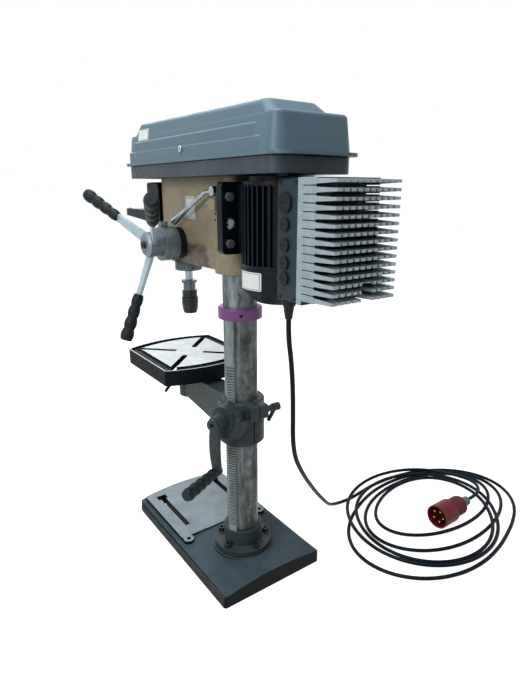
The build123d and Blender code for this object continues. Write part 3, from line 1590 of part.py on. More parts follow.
# Clamp lever at the slit of the hub
rod_way = (0, -0.52, -0.854)
with BuildPart() as clamp_lever:
    with Locations(facing_x(-50, clamp_bolt_y, clamp_bolt_z)):
        Cylinder(clamp_bolt_r, 76, align=UP)
    with Locations(facing_x(-58, clamp_bolt_y, clamp_bolt_z)):
        Cylinder(9, 17, align=UP)
    with Locations(facing_x(-41, clamp_bolt_y, clamp_bolt_z)):
        Cylinder(7, 18, align=UP)
    with BuildSketch(facing_x(22.5, clamp_bolt_y, clamp_bolt_z)):
        RegularPolygon(8.5, 6)
    extrude(amount=7)
    with Locations(
        Plane(origin=(-50, clamp_bolt_y, clamp_bolt_z), x_dir=(1, 0, 0), z_dir=rod_way)
    ):
        Cylinder(4.5, 48, align=UP)
save(clamp_lever, "clamp_lever")

# Table with bowed ends, a trough all round, diagonal slots and a stem
with BuildPart() as table:
    with BuildSketch(Plane.XY.offset(table_bottom)):
        with BuildLine():
            Line((table_half_width, table_rear), (table_half_width, table_front))
            ThreePointArc(
                (table_half_width, table_front),
                (0, table_front - table_bow),
                (-table_half_width, table_front),
            )
            Line((-table_half_width, table_front), (-table_half_width, table_rear))
            ThreePointArc(
                (-table_half_width, table_rear),
                (0, table_rear + table_bow),
                (table_half_width, table_rear),
            )
        table_outline = make_face()
        fillet(table_outline.vertices(), 5)
    extrude(amount=table_top - table_bottom)
    with BuildSketch(Plane.XY.offset(table_top)):
        for inset, mode in ((table_rim, Mode.ADD), (table_rim + table_trough, Mode.SUBTRACT)):
            half_x = table_half_width - inset
            set_in = inset - table_bow + table_bow * (half_x / table_half_width) ** 2
            front_y = table_front + set_in
            rear_y = table_rear - set_in
            with BuildLine():
                Line((half_x, rear_y), (half_x, front_y))
                ThreePointArc(
                    (half_x, front_y), (0, table_front - table_bow + inset), (-half_x, front_y)
                )
                Line((-half_x, front_y), (-half_x, rear_y))
                ThreePointArc(
                    (-half_x, rear_y), (0, table_rear + table_bow - inset), (half_x, rear_y)
                )
            make_face(mode=mode)
    extrude(amount=-table_trough_depth, mode=Mode.SUBTRACT)
    with BuildSketch(Plane.XY.offset(table_bottom)):
        half_x = table_half_width - table_wall
        set_in = table_wall - table_bow + table_bow * (half_x / table_half_width) ** 2
        front_y = table_front + set_in
        rear_y = table_rear - set_in
        with BuildLine():
            Line((half_x, rear_y), (half_x, front_y))
            ThreePointArc(
                (half_x, front_y), (0, table_front - table_bow + table_wall), (-half_x, front_y)
            )
            Line((-half_x, front_y), (-half_x, rear_y))
            ThreePointArc(
                (-half_x, rear_y), (0, table_rear + table_bow - table_wall), (half_x, rear_y)
            )
        make_face()
    extrude(amount=table_top - table_bottom - table_roof, mode=Mode.SUBTRACT)
    with Locations((0, table_pivot_y, table_bottom)):
        Cylinder(table_boss_r + 3, table_top - table_bottom - 2, align=UP)
        Cylinder(table_stem_r, table_bottom - table_boss_bottom - 5, align=DOWN)
    with BuildSketch(Plane.XY.offset(table_top)):
        with Locations((0, table_pivot_y)):
            with PolarLocations((table_slot_start + table_slot_end) / 2, 4, 45):
                SlotOverall(table_slot_end - table_slot_start, table_slot_width)
    extrude(amount=-40, mode=Mode.SUBTRACT)
save(table, "table")

table_rod = Vector(72, 88, 4).normalized()
with BuildPart() as table_lever:
    with Locations(facing_x(table_stem_r + 1, table_pivot_y, 400)):
        Cylinder(5, 26, align=UP)
    with Locations(facing_x(table_boss_r + 3, table_pivot_y, 400)):
        Cylinder(8, 13, align=UP)
    with Locations(
        Plane(origin=(40, table_pivot_y, 400), x_dir=(0, 0, 1), z_dir=tuple(table_rod))
    ):
        Cylinder(3.5, 112, align=UP)
save(table_lever, "table_lever")

# Switch box and operating console on the front of the head
with BuildPart() as switch_box:
    with BuildSketch(Plane.XZ.offset(-head_front)):
        with Locations((0, (box_bottom + box_top) / 2)):
            RectangleRounded(2 * box_half_width, box_top - box_bottom, 5)
    extrude(amount=head_front - box_front)
    with Locations((0, head_front, (box_bottom + box_top) / 2)):
        Box(
            2 * box_half_width - 8,
            head_front - box_front - 5,
            box_top - box_bottom - 8,
            align=(Align.CENTER, Align.MAX, Align.CENTER),
            mode=Mode.SUBTRACT,
        )
save(switch_box, "switch_box")

button_y = -385.0
knob_y = -435.0
console_z = box_bottom + console_top
with BuildPart() as control_console:
    with BuildSketch(Plane.YZ.offset(-console_half_width)):
        Polygon(
            (box_front, console_z - console_root_thick),
            (box_front, console_z),
            (console_tip, console_z),
            (console_tip, console_z - console_tip_thick),
            align=None,
        )
    extrude(amount=2 * console_half_width)
    with Locations((-20, button_y, console_z), (20, button_y, console_z)):
        Cylinder(8.3, 12, align=DOWN, mode=Mode.SUBTRACT)
    with Locations((0, knob_y, console_z)):
        Cylinder(3 + running_fit, 10, align=DOWN, mode=Mode.SUBTRACT)
save(control_console, "control_console")

for x, name in ((-20, "start_button"), (20, "stop_button")):
    with BuildPart() as button:
        with Locations((x, button_y, console_z - 6)):
            Cylinder(8, 11, align=UP)
        fillet(button.edges().group_by(Axis.Z)[-1], 1.5)
    save(button, name)

with BuildPart() as speed_knob:
    with Locations((0, knob_y, console_z + 0.4)):
        Cylinder(13, 15, align=UP)
    fillet(speed_knob.edges().group_by(Axis.Z)[-1], 2)
    with BuildSketch(Plane.XY.offset(console_z + 4)):
        with Locations((0, knob_y)):
            with PolarLocations(13.4, 12):
                Circle(1.5)
    extrude(amount=20, mode=Mode.SUBTRACT)
    with Locations((0, knob_y, console_z + 1)):
        Cylinder(3, 9, align=DOWN)
save(speed_knob, "speed_knob")
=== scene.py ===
# %% [markdown]
# # A bench drill with a belt cover, an inverter and a coiled lead
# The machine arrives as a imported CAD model: sixty solids in metres, each on the body it moves with.
# This lesson dresses that model. The solids keep their shapes and places, each gets the finish that
# the real piece has, and small trim that a solid doesn't need is made here.

# %% Load the frame
import bpy
import bmesh
import json
import math
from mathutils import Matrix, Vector

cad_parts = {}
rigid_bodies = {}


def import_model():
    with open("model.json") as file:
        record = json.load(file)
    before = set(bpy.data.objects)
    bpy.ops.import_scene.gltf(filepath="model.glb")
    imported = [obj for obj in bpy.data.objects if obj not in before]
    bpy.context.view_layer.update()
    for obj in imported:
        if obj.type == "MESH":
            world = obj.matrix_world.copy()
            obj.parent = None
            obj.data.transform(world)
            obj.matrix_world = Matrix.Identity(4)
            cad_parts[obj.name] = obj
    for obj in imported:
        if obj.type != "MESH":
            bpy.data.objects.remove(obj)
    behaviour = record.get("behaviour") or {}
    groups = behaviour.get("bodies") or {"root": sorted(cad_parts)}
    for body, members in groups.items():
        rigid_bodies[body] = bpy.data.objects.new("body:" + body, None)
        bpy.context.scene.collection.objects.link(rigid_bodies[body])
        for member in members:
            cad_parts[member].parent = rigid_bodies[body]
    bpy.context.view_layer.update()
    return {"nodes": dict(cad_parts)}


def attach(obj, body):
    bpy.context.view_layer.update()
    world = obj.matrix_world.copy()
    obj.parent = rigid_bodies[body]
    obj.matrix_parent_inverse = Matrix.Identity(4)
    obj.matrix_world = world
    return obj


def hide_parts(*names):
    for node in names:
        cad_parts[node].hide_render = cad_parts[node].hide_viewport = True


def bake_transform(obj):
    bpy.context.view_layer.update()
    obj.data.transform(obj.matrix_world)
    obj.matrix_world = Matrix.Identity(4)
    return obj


for spare in list(bpy.data.objects):
    bpy.data.objects.remove(spare)
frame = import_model()
parts = frame["nodes"]

# %% [markdown]
# ## Objects, nodes and colours
# Colours are picked as sRGB hex values, and the renderer works in linear light, so one function
# turns one into the other. Another one adds a node, sets its values and links its inputs, in a
# shader tree and in a geometry tree alike. Pattern sizes are written in millimetres, and a noise
# texture counts its scale per metre.

# %% Helpers
mm = 0.001
# A mix node names several sockets alike, so those of a colour mix are known by number.
SHARE, UNDER, OVER, MIXED = 0, 6, 7, 2


def put(name, data):
    """A new object in the scene."""
    made = bpy.data.objects.new(name, data)
    bpy.context.scene.collection.objects.link(made)
    return made


def look_along(made, way):
    """Turns a camera or a lamp to look along a direction."""
    made.rotation_mode = "QUATERNION"
    made.rotation_quaternion = way.to_track_quat("-Z", "Y")


def colour(code):
    """An sRGB hex colour as linear red, green, blue and a full alpha."""
    out = []
    for i in (1, 3, 5):
        c = int(code[i : i + 2], 16) / 255
        out.append(c / 12.92 if c <= 0.04045 else ((c + 0.055) / 1.055) ** 2.4)
    return (*out, 1.0)


def add_node(tree, kind, values=None, **settings):
    """Adds a node, with settings as attributes and values as numbers or links on its inputs."""
    made = tree.nodes.new(kind)
    for name, value in settings.items():
        setattr(made, name, value)
    for name, value in (values or {}).items():
        if isinstance(value, bpy.types.NodeSocket):
            tree.links.new(value, made.inputs[name])
        else:
            made.inputs[name].default_value = value
    return made


def grain(size_mm):
    """The noise scale whose features measure about size_mm."""
    return 1000.0 / size_mm


print("one millimetre of grain is a scale of", grain(1))

# %% [markdown]
# ## Camera
# The photograph was taken from behind the machine's right side, a little above the chuck. Its place
# was solved from the edges of the base, the table and the column, so it is written as numbers.

# %% Place the camera
eye = (0.5846, 0.8966, 0.8529)
bearing = math.radians(54.366)
dip = math.radians(17.215)
flat = math.cos(dip)
camera_data = bpy.data.cameras.new("photo_camera")
camera_data.sensor_width = 36.0
camera_data.lens = 26.667
camera_data.clip_start = 0.01
camera_data.clip_end = 50.0
camera = put("photo_camera", camera_data)
camera.location = eye
look_along(camera, Vector((-math.cos(bearing) * flat, -math.sin(bearing) * flat, -math.sin(dip))))
bpy.context.scene.camera = camera
print("camera at", [round(x, 3) for x in camera.location])

# %% [markdown]
# ## Floor and light
# The object stands alone on white. A floor carries its faint shadow, a white world closes the view
# behind it, and most light falls from a soft lamp overhead, as under a workshop ceiling, so that
# upright faces are darker than level ones. A second lamp stands beside the camera and a weak one in
# front of the machine. To the camera, and in mirror-like metal, floor and world are plain white. To
# everything else they are weaker, so that colours render about as they are written.

# %% Build the stage
white = (1, 1, 1, 1)
sky_fill = 0.26
floor_glow = 0.88
floor_reach = 9


def white_to_the_eye(tree):
    """1 for rays from the camera, from a gloss or through glass, and 0 for the rest."""
    ray = add_node(tree, "ShaderNodeLightPath").outputs
    seen = ray["Is Camera Ray"]
    for other in ("Is Glossy Ray", "Is Transmission Ray"):
        either = add_node(tree, "ShaderNodeMath", {0: seen, 1: ray[other]}, operation="MAXIMUM")
        seen = either.outputs[0]
    return seen


world = bpy.data.worlds.new("studio")
bpy.context.scene.world = world
world.use_nodes = True
sky = world.node_tree
sky.nodes.clear()
level = add_node(
    sky, "ShaderNodeMapRange", {"Value": white_to_the_eye(sky), "To Min": sky_fill, "To Max": 1.0}
)
glow = add_node(sky, "ShaderNodeBackground", {"Color": white, "Strength": level.outputs[0]})
add_node(sky, "ShaderNodeOutputWorld", {"Surface": glow.outputs[0]})

floor_mesh = bpy.data.meshes.new("floor")
corners = [(x * floor_reach, y * floor_reach, 0) for x, y in ((-1, -1), (1, -1), (1, 1), (-1, 1))]
floor_mesh.from_pydata(corners, [], [(0, 1, 2, 3)])
floor = put("floor", floor_mesh)
pale = bpy.data.materials.new("pale_floor_paint")
pale.use_nodes = True
pale_tree = pale.node_tree
pale_tree.nodes.clear()
pale_paint = add_node(pale_tree, "ShaderNodeBsdfDiffuse", {"Color": colour("#C4C4C2")})
pale_lift = add_node(pale_tree, "ShaderNodeEmission", {"Color": white, "Strength": floor_glow})
pale_sum = add_node(
    pale_tree, "ShaderNodeAddShader", {0: pale_paint.outputs[0], 1: pale_lift.outputs[0]}
)
pale_seen = add_node(
    pale_tree,
    "ShaderNodeMixShader",
    {0: white_to_the_eye(pale_tree), 1: pale_paint.outputs[0], 2: pale_sum.outputs[0]},
)
add_node(pale_tree, "ShaderNodeOutputMaterial", {"Surface": pale_seen.outputs[0]})
floor_mesh.materials.append(pale)

# Each lamp's name, place, aim, side in metres and watts.
lamps = (
    ("overhead", (0.45, 0.05, 2.6), (0.0, 0.0, 0.5), 1.6, 49.0),
    ("beside_camera", (2.25, 0.75, 1.7), (0.0, -0.05, 0.7), 1.2, 34.0),
    ("front", (-0.7, -2.3, 1.7), (0.0, -0.1, 0.6), 1.4, 20.0),
)
for name, at, aim, side, watts in lamps:
    lamp = bpy.data.lights.new(name, "AREA")
    lamp.shape = "SQUARE"
    lamp.size = side
    lamp.energy = watts
    holder = put(name, lamp)
    holder.location = at
    look_along(holder, Vector(aim) - Vector(at))
print("stage with", len(lamps), "soft lamps")

# %% [markdown]
# ## Painted castings
# The base, the table, its bracket and the head are sand castings under a coat of paint. The sand
# leaves a fine pitted skin that the paint doesn't fill, the coat is uneven over a hand's width, and
# it is thinned and rubbed bright along edges. A rounded normal compared with the true one finds the
# edges, and also lets them catch the light as a real, slightly rounded edge does. The belt tray's
# sheet and the motor's aluminium are painted the same way, over a finer skin.

# %% Start a finish, and the painted casting
finishes = {}
edge_samples = 4
# A noise seldom leaves this span.
noise_span = {"From Min": 0.3, "From Max": 0.7}


def begin(name, shine):
    """A new material with its tree, its shader and the object coordinates that patterns use."""
    made = bpy.data.materials.new(name)
    made.use_nodes = True
    tree = made.node_tree
    tree.nodes.clear()
    shader = add_node(tree, "ShaderNodeBsdfPrincipled", {"Specular IOR Level": shine})
    add_node(tree, "ShaderNodeOutputMaterial", {"Surface": shader.outputs[0]})
    place = add_node(tree, "ShaderNodeTexCoord").outputs["Object"]
    finishes[name] = made
    return tree, shader, place


def complete(tree, shader, skin, dull, normal):
    """Links a finish's colour, roughness and normal to its shader."""
    for name, socket in (("Base Color", skin), ("Roughness", dull), ("Normal", normal)):
        tree.links.new(socket, shader.inputs[name])


def rounded_edges(tree, radius_mm):
    """The surface's normal, with the edges rounded off."""
    rounded = add_node(tree, "ShaderNodeBevel", {"Radius": radius_mm * mm}, samples=edge_samples)
    return rounded.outputs[0]


def edge_mask(tree, round_normal, from_dot, to_dot):
    """1 along the edges, where the rounded normal leans away from the true one."""
    true_normal = add_node(tree, "ShaderNodeNewGeometry").outputs["Normal"]
    same = add_node(
        tree, "ShaderNodeVectorMath", {0: round_normal, 1: true_normal}, operation="DOT_PRODUCT"
    )
    mask = add_node(
        tree,
        "ShaderNodeMapRange",
        {"Value": same.outputs["Value"], "From Min": from_dot, "From Max": to_dot},
    )
    return mask.outputs[0]


def painted_casting(name, paint, dusk, bare, skin_mm, gloss, wear, shine):
    """Paint over a sand-cast skin: cloudy tone, pitted bump, and edges rubbed to bare metal."""
    cloud_mm, smudge_mm, edge_mm, pit_m = 70, 9, 1.6, 0.0005
    tree, shader, place = begin(name, shine)
    cloud = add_node(
        tree,
        "ShaderNodeTexNoise",
        {"Vector": place, "Scale": grain(cloud_mm), "Detail": 5.0, "Roughness": 0.6},
    )
    skin = add_node(
        tree, "ShaderNodeTexNoise", {"Vector": place, "Scale": grain(skin_mm), "Detail": 3.0}
    )
    smudge = add_node(
        tree,
        "ShaderNodeTexNoise",
        {"Vector": place, "Scale": grain(smudge_mm), "Detail": 6.0, "Roughness": 0.7},
    )
    tone = add_node(
        tree, "ShaderNodeMapRange", {"Value": cloud.outputs[0], "From Min": 0.35, "From Max": 0.68}
    )
    body = add_node(
        tree,
        "ShaderNodeMix",
        {SHARE: tone.outputs[0], UNDER: colour(dusk), OVER: colour(paint)},
        data_type="RGBA",
    )
    round_normal = rounded_edges(tree, edge_mm)
    edge = edge_mask(tree, round_normal, 0.93, 0.72)
    torn = add_node(
        tree, "ShaderNodeMapRange", {"Value": smudge.outputs[0], "From Min": 0.42, "From Max": 0.62}
    )
    worn = add_node(tree, "ShaderNodeMath", {0: edge, 1: torn.outputs[0]}, operation="MULTIPLY")
    worn = add_node(tree, "ShaderNodeMath", {0: worn.outputs[0], 1: wear}, operation="MULTIPLY")
    whole = add_node(
        tree,
        "ShaderNodeMix",
        {SHARE: worn.outputs[0], UNDER: body.outputs[MIXED], OVER: colour(bare)},
        data_type="RGBA",
    )
    dull = add_node(
        tree,
        "ShaderNodeMapRange",
        {**noise_span, "Value": smudge.outputs[0], "To Min": gloss - 0.09, "To Max": gloss + 0.12},
    )
    pits = add_node(
        tree,
        "ShaderNodeBump",
        {"Strength": 0.35, "Distance": pit_m, "Height": skin.outputs[0], "Normal": round_normal},
    )
    complete(tree, shader, whole.outputs[MIXED], dull.outputs[0], pits.outputs[0])


# Each paint's name, tone, darker tone, bare metal, skin in mm, roughness, wear and shine.
paints = (
    # Old machine enamel, a dull tan with a soft shine.
    ("tan_enamel_on_cast_iron", "#9A9179", "#837962", "#5A5347", 1.8, 0.44, 0.6, 0.35),
    # Thin grey paint on a rough casting: nearly matt, with pale edges.
    ("dark_grey_cast_iron", "#3B484B", "#283235", "#76807F", 2.2, 0.5, 0.8, 0.22),
    # Smooth dark paint on bent sheet, a little shiny.
    ("charcoal_enamel_on_sheet", "#35424A", "#29343B", "#6C7A82", 0.9, 0.44, 0.35, 0.3),
    # Deep black on ribbed aluminium, which shows only its highlights.
    ("black_enamel_on_aluminium", "#05111C", "#030B13", "#25343F", 1.1, 0.34, 0.3, 0.14),
    # Slate paint on the base, dry and uneven.
    ("slate_enamel_on_cast_iron", "#44525C", "#35424A", "#7B868C", 2.0, 0.5, 0.6, 0.07),
    # Black paint in the table's trough and on its sides, matt, with bright worn edges.
    ("black_enamel_on_table_iron", "#0B1317", "#060B0E", "#A4ACAF", 2.0, 0.56, 0.8, 0.07),
)
for paint in paints:
    painted_casting(*paint)
print("castings:", len(finishes))

# %% [markdown]
# ## Painted shade, stains and chips
# Some shade is painted into the colours: on the head just under the belt tray, on the column's
# sides low down, and deep between the sink's fins. The head also has stains in small patches,
# more of them towards its bottom, and it is dark brown along its bottom, away from the column. Each
# such place lies beyond some height or depth, so one object coordinate, broken up by noise, blends
# the tint in. The upright faces of the castings are painted darker than their level faces, as
# shade, which the normal finds. A knocked-off chip of paint is a distance to one point.


# %% Tint along an axis, painted shade on upright faces, and a chip of paint
def paint_of(name):
    """The tree, the shader and the coordinates of a finish that is made already."""
    tree = finishes[name].node_tree
    shader = next(n for n in tree.nodes if n.type == "BSDF_PRINCIPLED")
    place = next(n for n in tree.nodes if n.type == "TEX_COORD").outputs["Object"]
    return tree, shader, place


def lay_over(tree, shader, mask, tint):
    """Blends a tint over the base colour by a mask."""
    under = shader.inputs["Base Color"].links[0].from_socket
    both = add_node(
        tree, "ShaderNodeMix", {SHARE: mask, UNDER: under, OVER: colour(tint)}, data_type="RGBA"
    )
    tree.links.new(both.outputs[MIXED], shader.inputs["Base Color"])


def darken_along_axis(name, axis, untinted_m, fully_tinted_m, tint, share, patch_mm=14, fence=None):
    """A tint that grows between two places on an axis. A share above 1 closes gaps in it.

    A fence names a second axis and two distances from its middle, where the tint starts and is full.
    """
    tree, shader, place = paint_of(name)
    at = add_node(tree, "ShaderNodeSeparateXYZ", {0: place}).outputs
    reach = add_node(
        tree,
        "ShaderNodeMapRange",
        {"Value": at[axis], "From Min": untinted_m, "From Max": fully_tinted_m, "To Max": share},
    )
    blot = add_node(
        tree,
        "ShaderNodeTexNoise",
        {"Vector": place, "Scale": grain(patch_mm), "Detail": 6.0, "Roughness": 0.65},
    )
    blot = add_node(
        tree,
        "ShaderNodeMapRange",
        {"Value": blot.outputs[0], "From Min": 0.32, "From Max": 0.6, "To Min": 0.35},
    )
    mask = add_node(
        tree, "ShaderNodeMath", {0: reach.outputs[0], 1: blot.outputs[0]}, operation="MULTIPLY"
    )
    if fence:
        cross, start_m, full_m = fence
        off = add_node(tree, "ShaderNodeMath", {0: at[cross]}, operation="ABSOLUTE")
        past = add_node(
            tree,
            "ShaderNodeMapRange",
            {"Value": off.outputs[0], "From Min": start_m, "From Max": full_m},
        )
        mask = add_node(
            tree, "ShaderNodeMath", {0: mask.outputs[0], 1: past.outputs[0]}, operation="MULTIPLY"
        )
    lay_over(tree, shader, mask.outputs[0], tint)


def painted_shade_on_upright_faces(name, tint, share):
    """Painted shade: darkens the upright faces of a casting more than its level faces."""
    level_rise, upright_rise = 0.96, 0.6
    tree, shader, _ = paint_of(name)
    way = add_node(tree, "ShaderNodeNewGeometry").outputs["True Normal"]
    rise = add_node(tree, "ShaderNodeSeparateXYZ", {0: way}).outputs["Z"]
    upright = add_node(
        tree,
        "ShaderNodeMapRange",
        {"Value": rise, "From Min": level_rise, "From Max": upright_rise, "To Max": share},
    )
    lay_over(tree, shader, upright.outputs[0], tint)


def chipped(name, at_m, size_mm, tint):
    """A ragged chip of paint round one point."""
    tree, shader, place = paint_of(name)
    far = add_node(tree, "ShaderNodeVectorMath", {0: place, 1: at_m}, operation="DISTANCE")
    ragged = add_node(
        tree,
        "ShaderNodeTexNoise",
        {"Vector": place, "Scale": grain(size_mm / 2), "Detail": 5.0, "Roughness": 0.7},
    )
    half = 0.5 * size_mm * mm
    swing = add_node(
        tree,
        "ShaderNodeMapRange",
        {**noise_span, "Value": ragged.outputs[0], "To Min": -half, "To Max": half},
    )
    near = add_node(
        tree, "ShaderNodeMath", {0: far.outputs["Value"], 1: swing.outputs[0]}, operation="ADD"
    )
    mask = add_node(
        tree,
        "ShaderNodeMapRange",
        {"Value": near.outputs[0], "From Min": 1.1 * half, "From Max": half},
    )
    lay_over(tree, shader, mask.outputs[0], tint)


head_paint = "tan_enamel_on_cast_iron"
# The head is dark brown below 0.746 m, away from the column.
darken_along_axis(head_paint, "Z", 0.746, 0.734, "#2A2119", 1.25, fence=("Y", 0.058, 0.072))
# Stains in small patches on the head, more of them towards its bottom.
darken_along_axis(head_paint, "Z", 0.90, 0.72, "#5F5340", 0.45, patch_mm=6)
# Painted shadow under the belt tray: the head darkens upwards from 0.855 m to 0.878 m.
darken_along_axis(head_paint, "Z", 0.855, 0.878, "#4A4335", 0.5)
# Painted shade on upright faces: the castings' sides are darker than their tops.
painted_shade_on_upright_faces("dark_grey_cast_iron", "#1A2225", 0.4)
painted_shade_on_upright_faces("slate_enamel_on_cast_iron", "#0E1314", 1.0)
chipped("black_enamel_on_aluminium", (0.064, 0.070, 0.794), 15, "#AEB8BC")
# The soil under the quill in this print is the dark brown at the bottom of the head.
print("soil under the quill, one chip on the motor foot")

# %% [markdown]
# ## The base and the table, part painted and part machined
# On both castings a cutter has bared one level: the clamping plate of the base, and the face and
# rim of the table. Each such level is a height, so the height decides between paint and bare iron.
# A face mill leaves arcs a fraction of a millimetre apart. They are drawn here about 9 mm apart and
# faint, which is as fine as this view can show.


# %% Machined levels on painted castings
def machined_level(name, level_m, rear_m, bright, gloss):
    """Bares the metal of a painted casting above a level and in front of a line."""
    cloud_mm, metallic = 45, 0.5
    # A wave texture runs through 20 radians in each unit of its scale.
    radian_mm, wave_radians = 1.4, 20.0
    tree, shader, place = paint_of(name)
    at = add_node(tree, "ShaderNodeSeparateXYZ", {0: place}).outputs
    high = add_node(tree, "ShaderNodeMath", {0: at["Z"], 1: level_m}, operation="GREATER_THAN")
    near = add_node(tree, "ShaderNodeMath", {0: at["Y"], 1: rear_m}, operation="LESS_THAN")
    bared = add_node(
        tree, "ShaderNodeMath", {0: high.outputs[0], 1: near.outputs[0]}, operation="MULTIPLY"
    )
    arcs = add_node(
        tree,
        "ShaderNodeTexWave",
        {
            "Vector": place,
            "Scale": grain(radian_mm) / wave_radians,
            "Distortion": 1.2,
            "Detail": 2.0,
            "Detail Scale": 3.0,
        },
        wave_type="RINGS",
        rings_direction="Z",
    )
    cloud = add_node(
        tree,
        "ShaderNodeTexNoise",
        {"Vector": place, "Scale": grain(cloud_mm), "Detail": 6.0, "Roughness": 0.65},
    )
    shade = add_node(
        tree,
        "ShaderNodeMapRange",
        {**noise_span, "Value": cloud.outputs[0], "To Min": 0.72, "To Max": 1.05},
    )
    lines = add_node(
        tree, "ShaderNodeMapRange", {"Value": arcs.outputs["Fac"], "To Min": 0.92, "To Max": 1.03}
    )
    shade = add_node(
        tree, "ShaderNodeMath", {0: shade.outputs[0], 1: lines.outputs[0]}, operation="MULTIPLY"
    )
    iron = add_node(
        tree,
        "ShaderNodeVectorMath",
        {0: colour(bright)[:3], "Scale": shade.outputs[0]},
        operation="SCALE",
    )
    paint = shader.inputs["Base Color"].links[0].from_socket
    dull = shader.inputs["Roughness"].links[0].from_socket
    both = add_node(
        tree,
        "ShaderNodeMix",
        {SHARE: bared.outputs[0], UNDER: paint, OVER: iron.outputs[0]},
        data_type="RGBA",
    )
    rough = add_node(
        tree, "ShaderNodeMapRange", {"Value": bared.outputs[0], "To Min": dull, "To Max": gloss}
    )
    metal = add_node(
        tree, "ShaderNodeMath", {0: bared.outputs[0], 1: metallic}, operation="MULTIPLY"
    )
    tree.links.new(both.outputs[MIXED], shader.inputs["Base Color"])
    tree.links.new(rough.outputs[0], shader.inputs["Roughness"])
    tree.links.new(metal.outputs[0], shader.inputs["Metallic"])


plate_level, plate_rear = 0.0388, -0.066
table_level, whole_table = 0.4586, 1.0
machined_level("slate_enamel_on_cast_iron", plate_level, plate_rear, "#77838A", 0.46)
machined_level("black_enamel_on_table_iron", table_level, whole_table, "#AEB6B9", 0.42)
print("machined: base plate and table face")

# %% [markdown]
# ## Steel, chrome and zinc
# The column is ground round and has stood in a damp shop: streaks run down it, and stains with
# brown specks lie on it in patches. Shafts, screws and rings are turned or plated. All are metals,
# so the base colour is their reflection, and what sets them apart is roughness and dirt. Most are
# greased, oxidised or dusty, and such a film, which isn't metal, lowers the metallic value.


# %% Bare and plated metals
def bare_metal(name, bright, dirt, stretch, streak_mm, gloss, dirt_share, metallic, rust=None):
    """A metal with streaks along one axis, dirt in patches, and rust specks where it has them."""
    patch_mm, speck_mm, edge_mm, cut_m = 34, 3.2, 0.5, 0.0003
    tree, shader, place = begin(name, 0.5)
    drawn = add_node(tree, "ShaderNodeMapping", {"Vector": place, "Scale": stretch})
    streak = add_node(
        tree,
        "ShaderNodeTexNoise",
        {"Vector": drawn.outputs[0], "Scale": grain(streak_mm), "Detail": 4.0, "Roughness": 0.6},
    )
    patch = add_node(
        tree,
        "ShaderNodeTexNoise",
        {"Vector": drawn.outputs[0], "Scale": grain(patch_mm), "Detail": 7.0, "Roughness": 0.68},
    )
    soil = add_node(
        tree,
        "ShaderNodeMapRange",
        {"Value": patch.outputs[0], "From Min": 0.42, "From Max": 0.68, "To Max": dirt_share},
    )
    line = add_node(
        tree,
        "ShaderNodeMapRange",
        {"Value": streak.outputs[0], "From Min": 0.3, "From Max": 0.72, "To Max": 0.42},
    )
    share = add_node(
        tree,
        "ShaderNodeMath",
        {0: soil.outputs[0], 1: line.outputs[0]},
        operation="ADD",
        use_clamp=True,
    )
    skin = add_node(
        tree,
        "ShaderNodeMix",
        {SHARE: share.outputs[0], UNDER: colour(bright), OVER: colour(dirt)},
        data_type="RGBA",
    )
    if rust:
        fine = add_node(
            tree,
            "ShaderNodeTexNoise",
            {"Vector": place, "Scale": grain(speck_mm), "Detail": 4.0, "Roughness": 0.7},
        )
        speck = add_node(
            tree,
            "ShaderNodeMapRange",
            {"Value": fine.outputs[0], "From Min": 0.62, "From Max": 0.7, "To Max": 0.75},
        )
        where = add_node(
            tree,
            "ShaderNodeMapRange",
            {"Value": patch.outputs[0], "From Min": 0.48, "From Max": 0.6},
        )
        spots = add_node(
            tree, "ShaderNodeMath", {0: speck.outputs[0], 1: where.outputs[0]}, operation="MULTIPLY"
        )
        skin = add_node(
            tree,
            "ShaderNodeMix",
            {SHARE: spots.outputs[0], UNDER: skin.outputs[MIXED], OVER: colour(rust)},
            data_type="RGBA",
        )
    dull = add_node(
        tree,
        "ShaderNodeMapRange",
        {"Value": share.outputs[0], "To Min": gloss, "To Max": min(gloss + 0.3, 0.9)},
    )
    round_normal = rounded_edges(tree, edge_mm)
    grooves = add_node(
        tree,
        "ShaderNodeBump",
        {"Strength": 0.12, "Distance": cut_m, "Height": streak.outputs[0], "Normal": round_normal},
    )
    complete(tree, shader, skin.outputs[MIXED], dull.outputs[0], grooves.outputs[0])
    shader.inputs["Metallic"].default_value = metallic


even, upright, crosswise = (1, 1, 1), (1, 1, 0.3), (0.2, 1, 1)
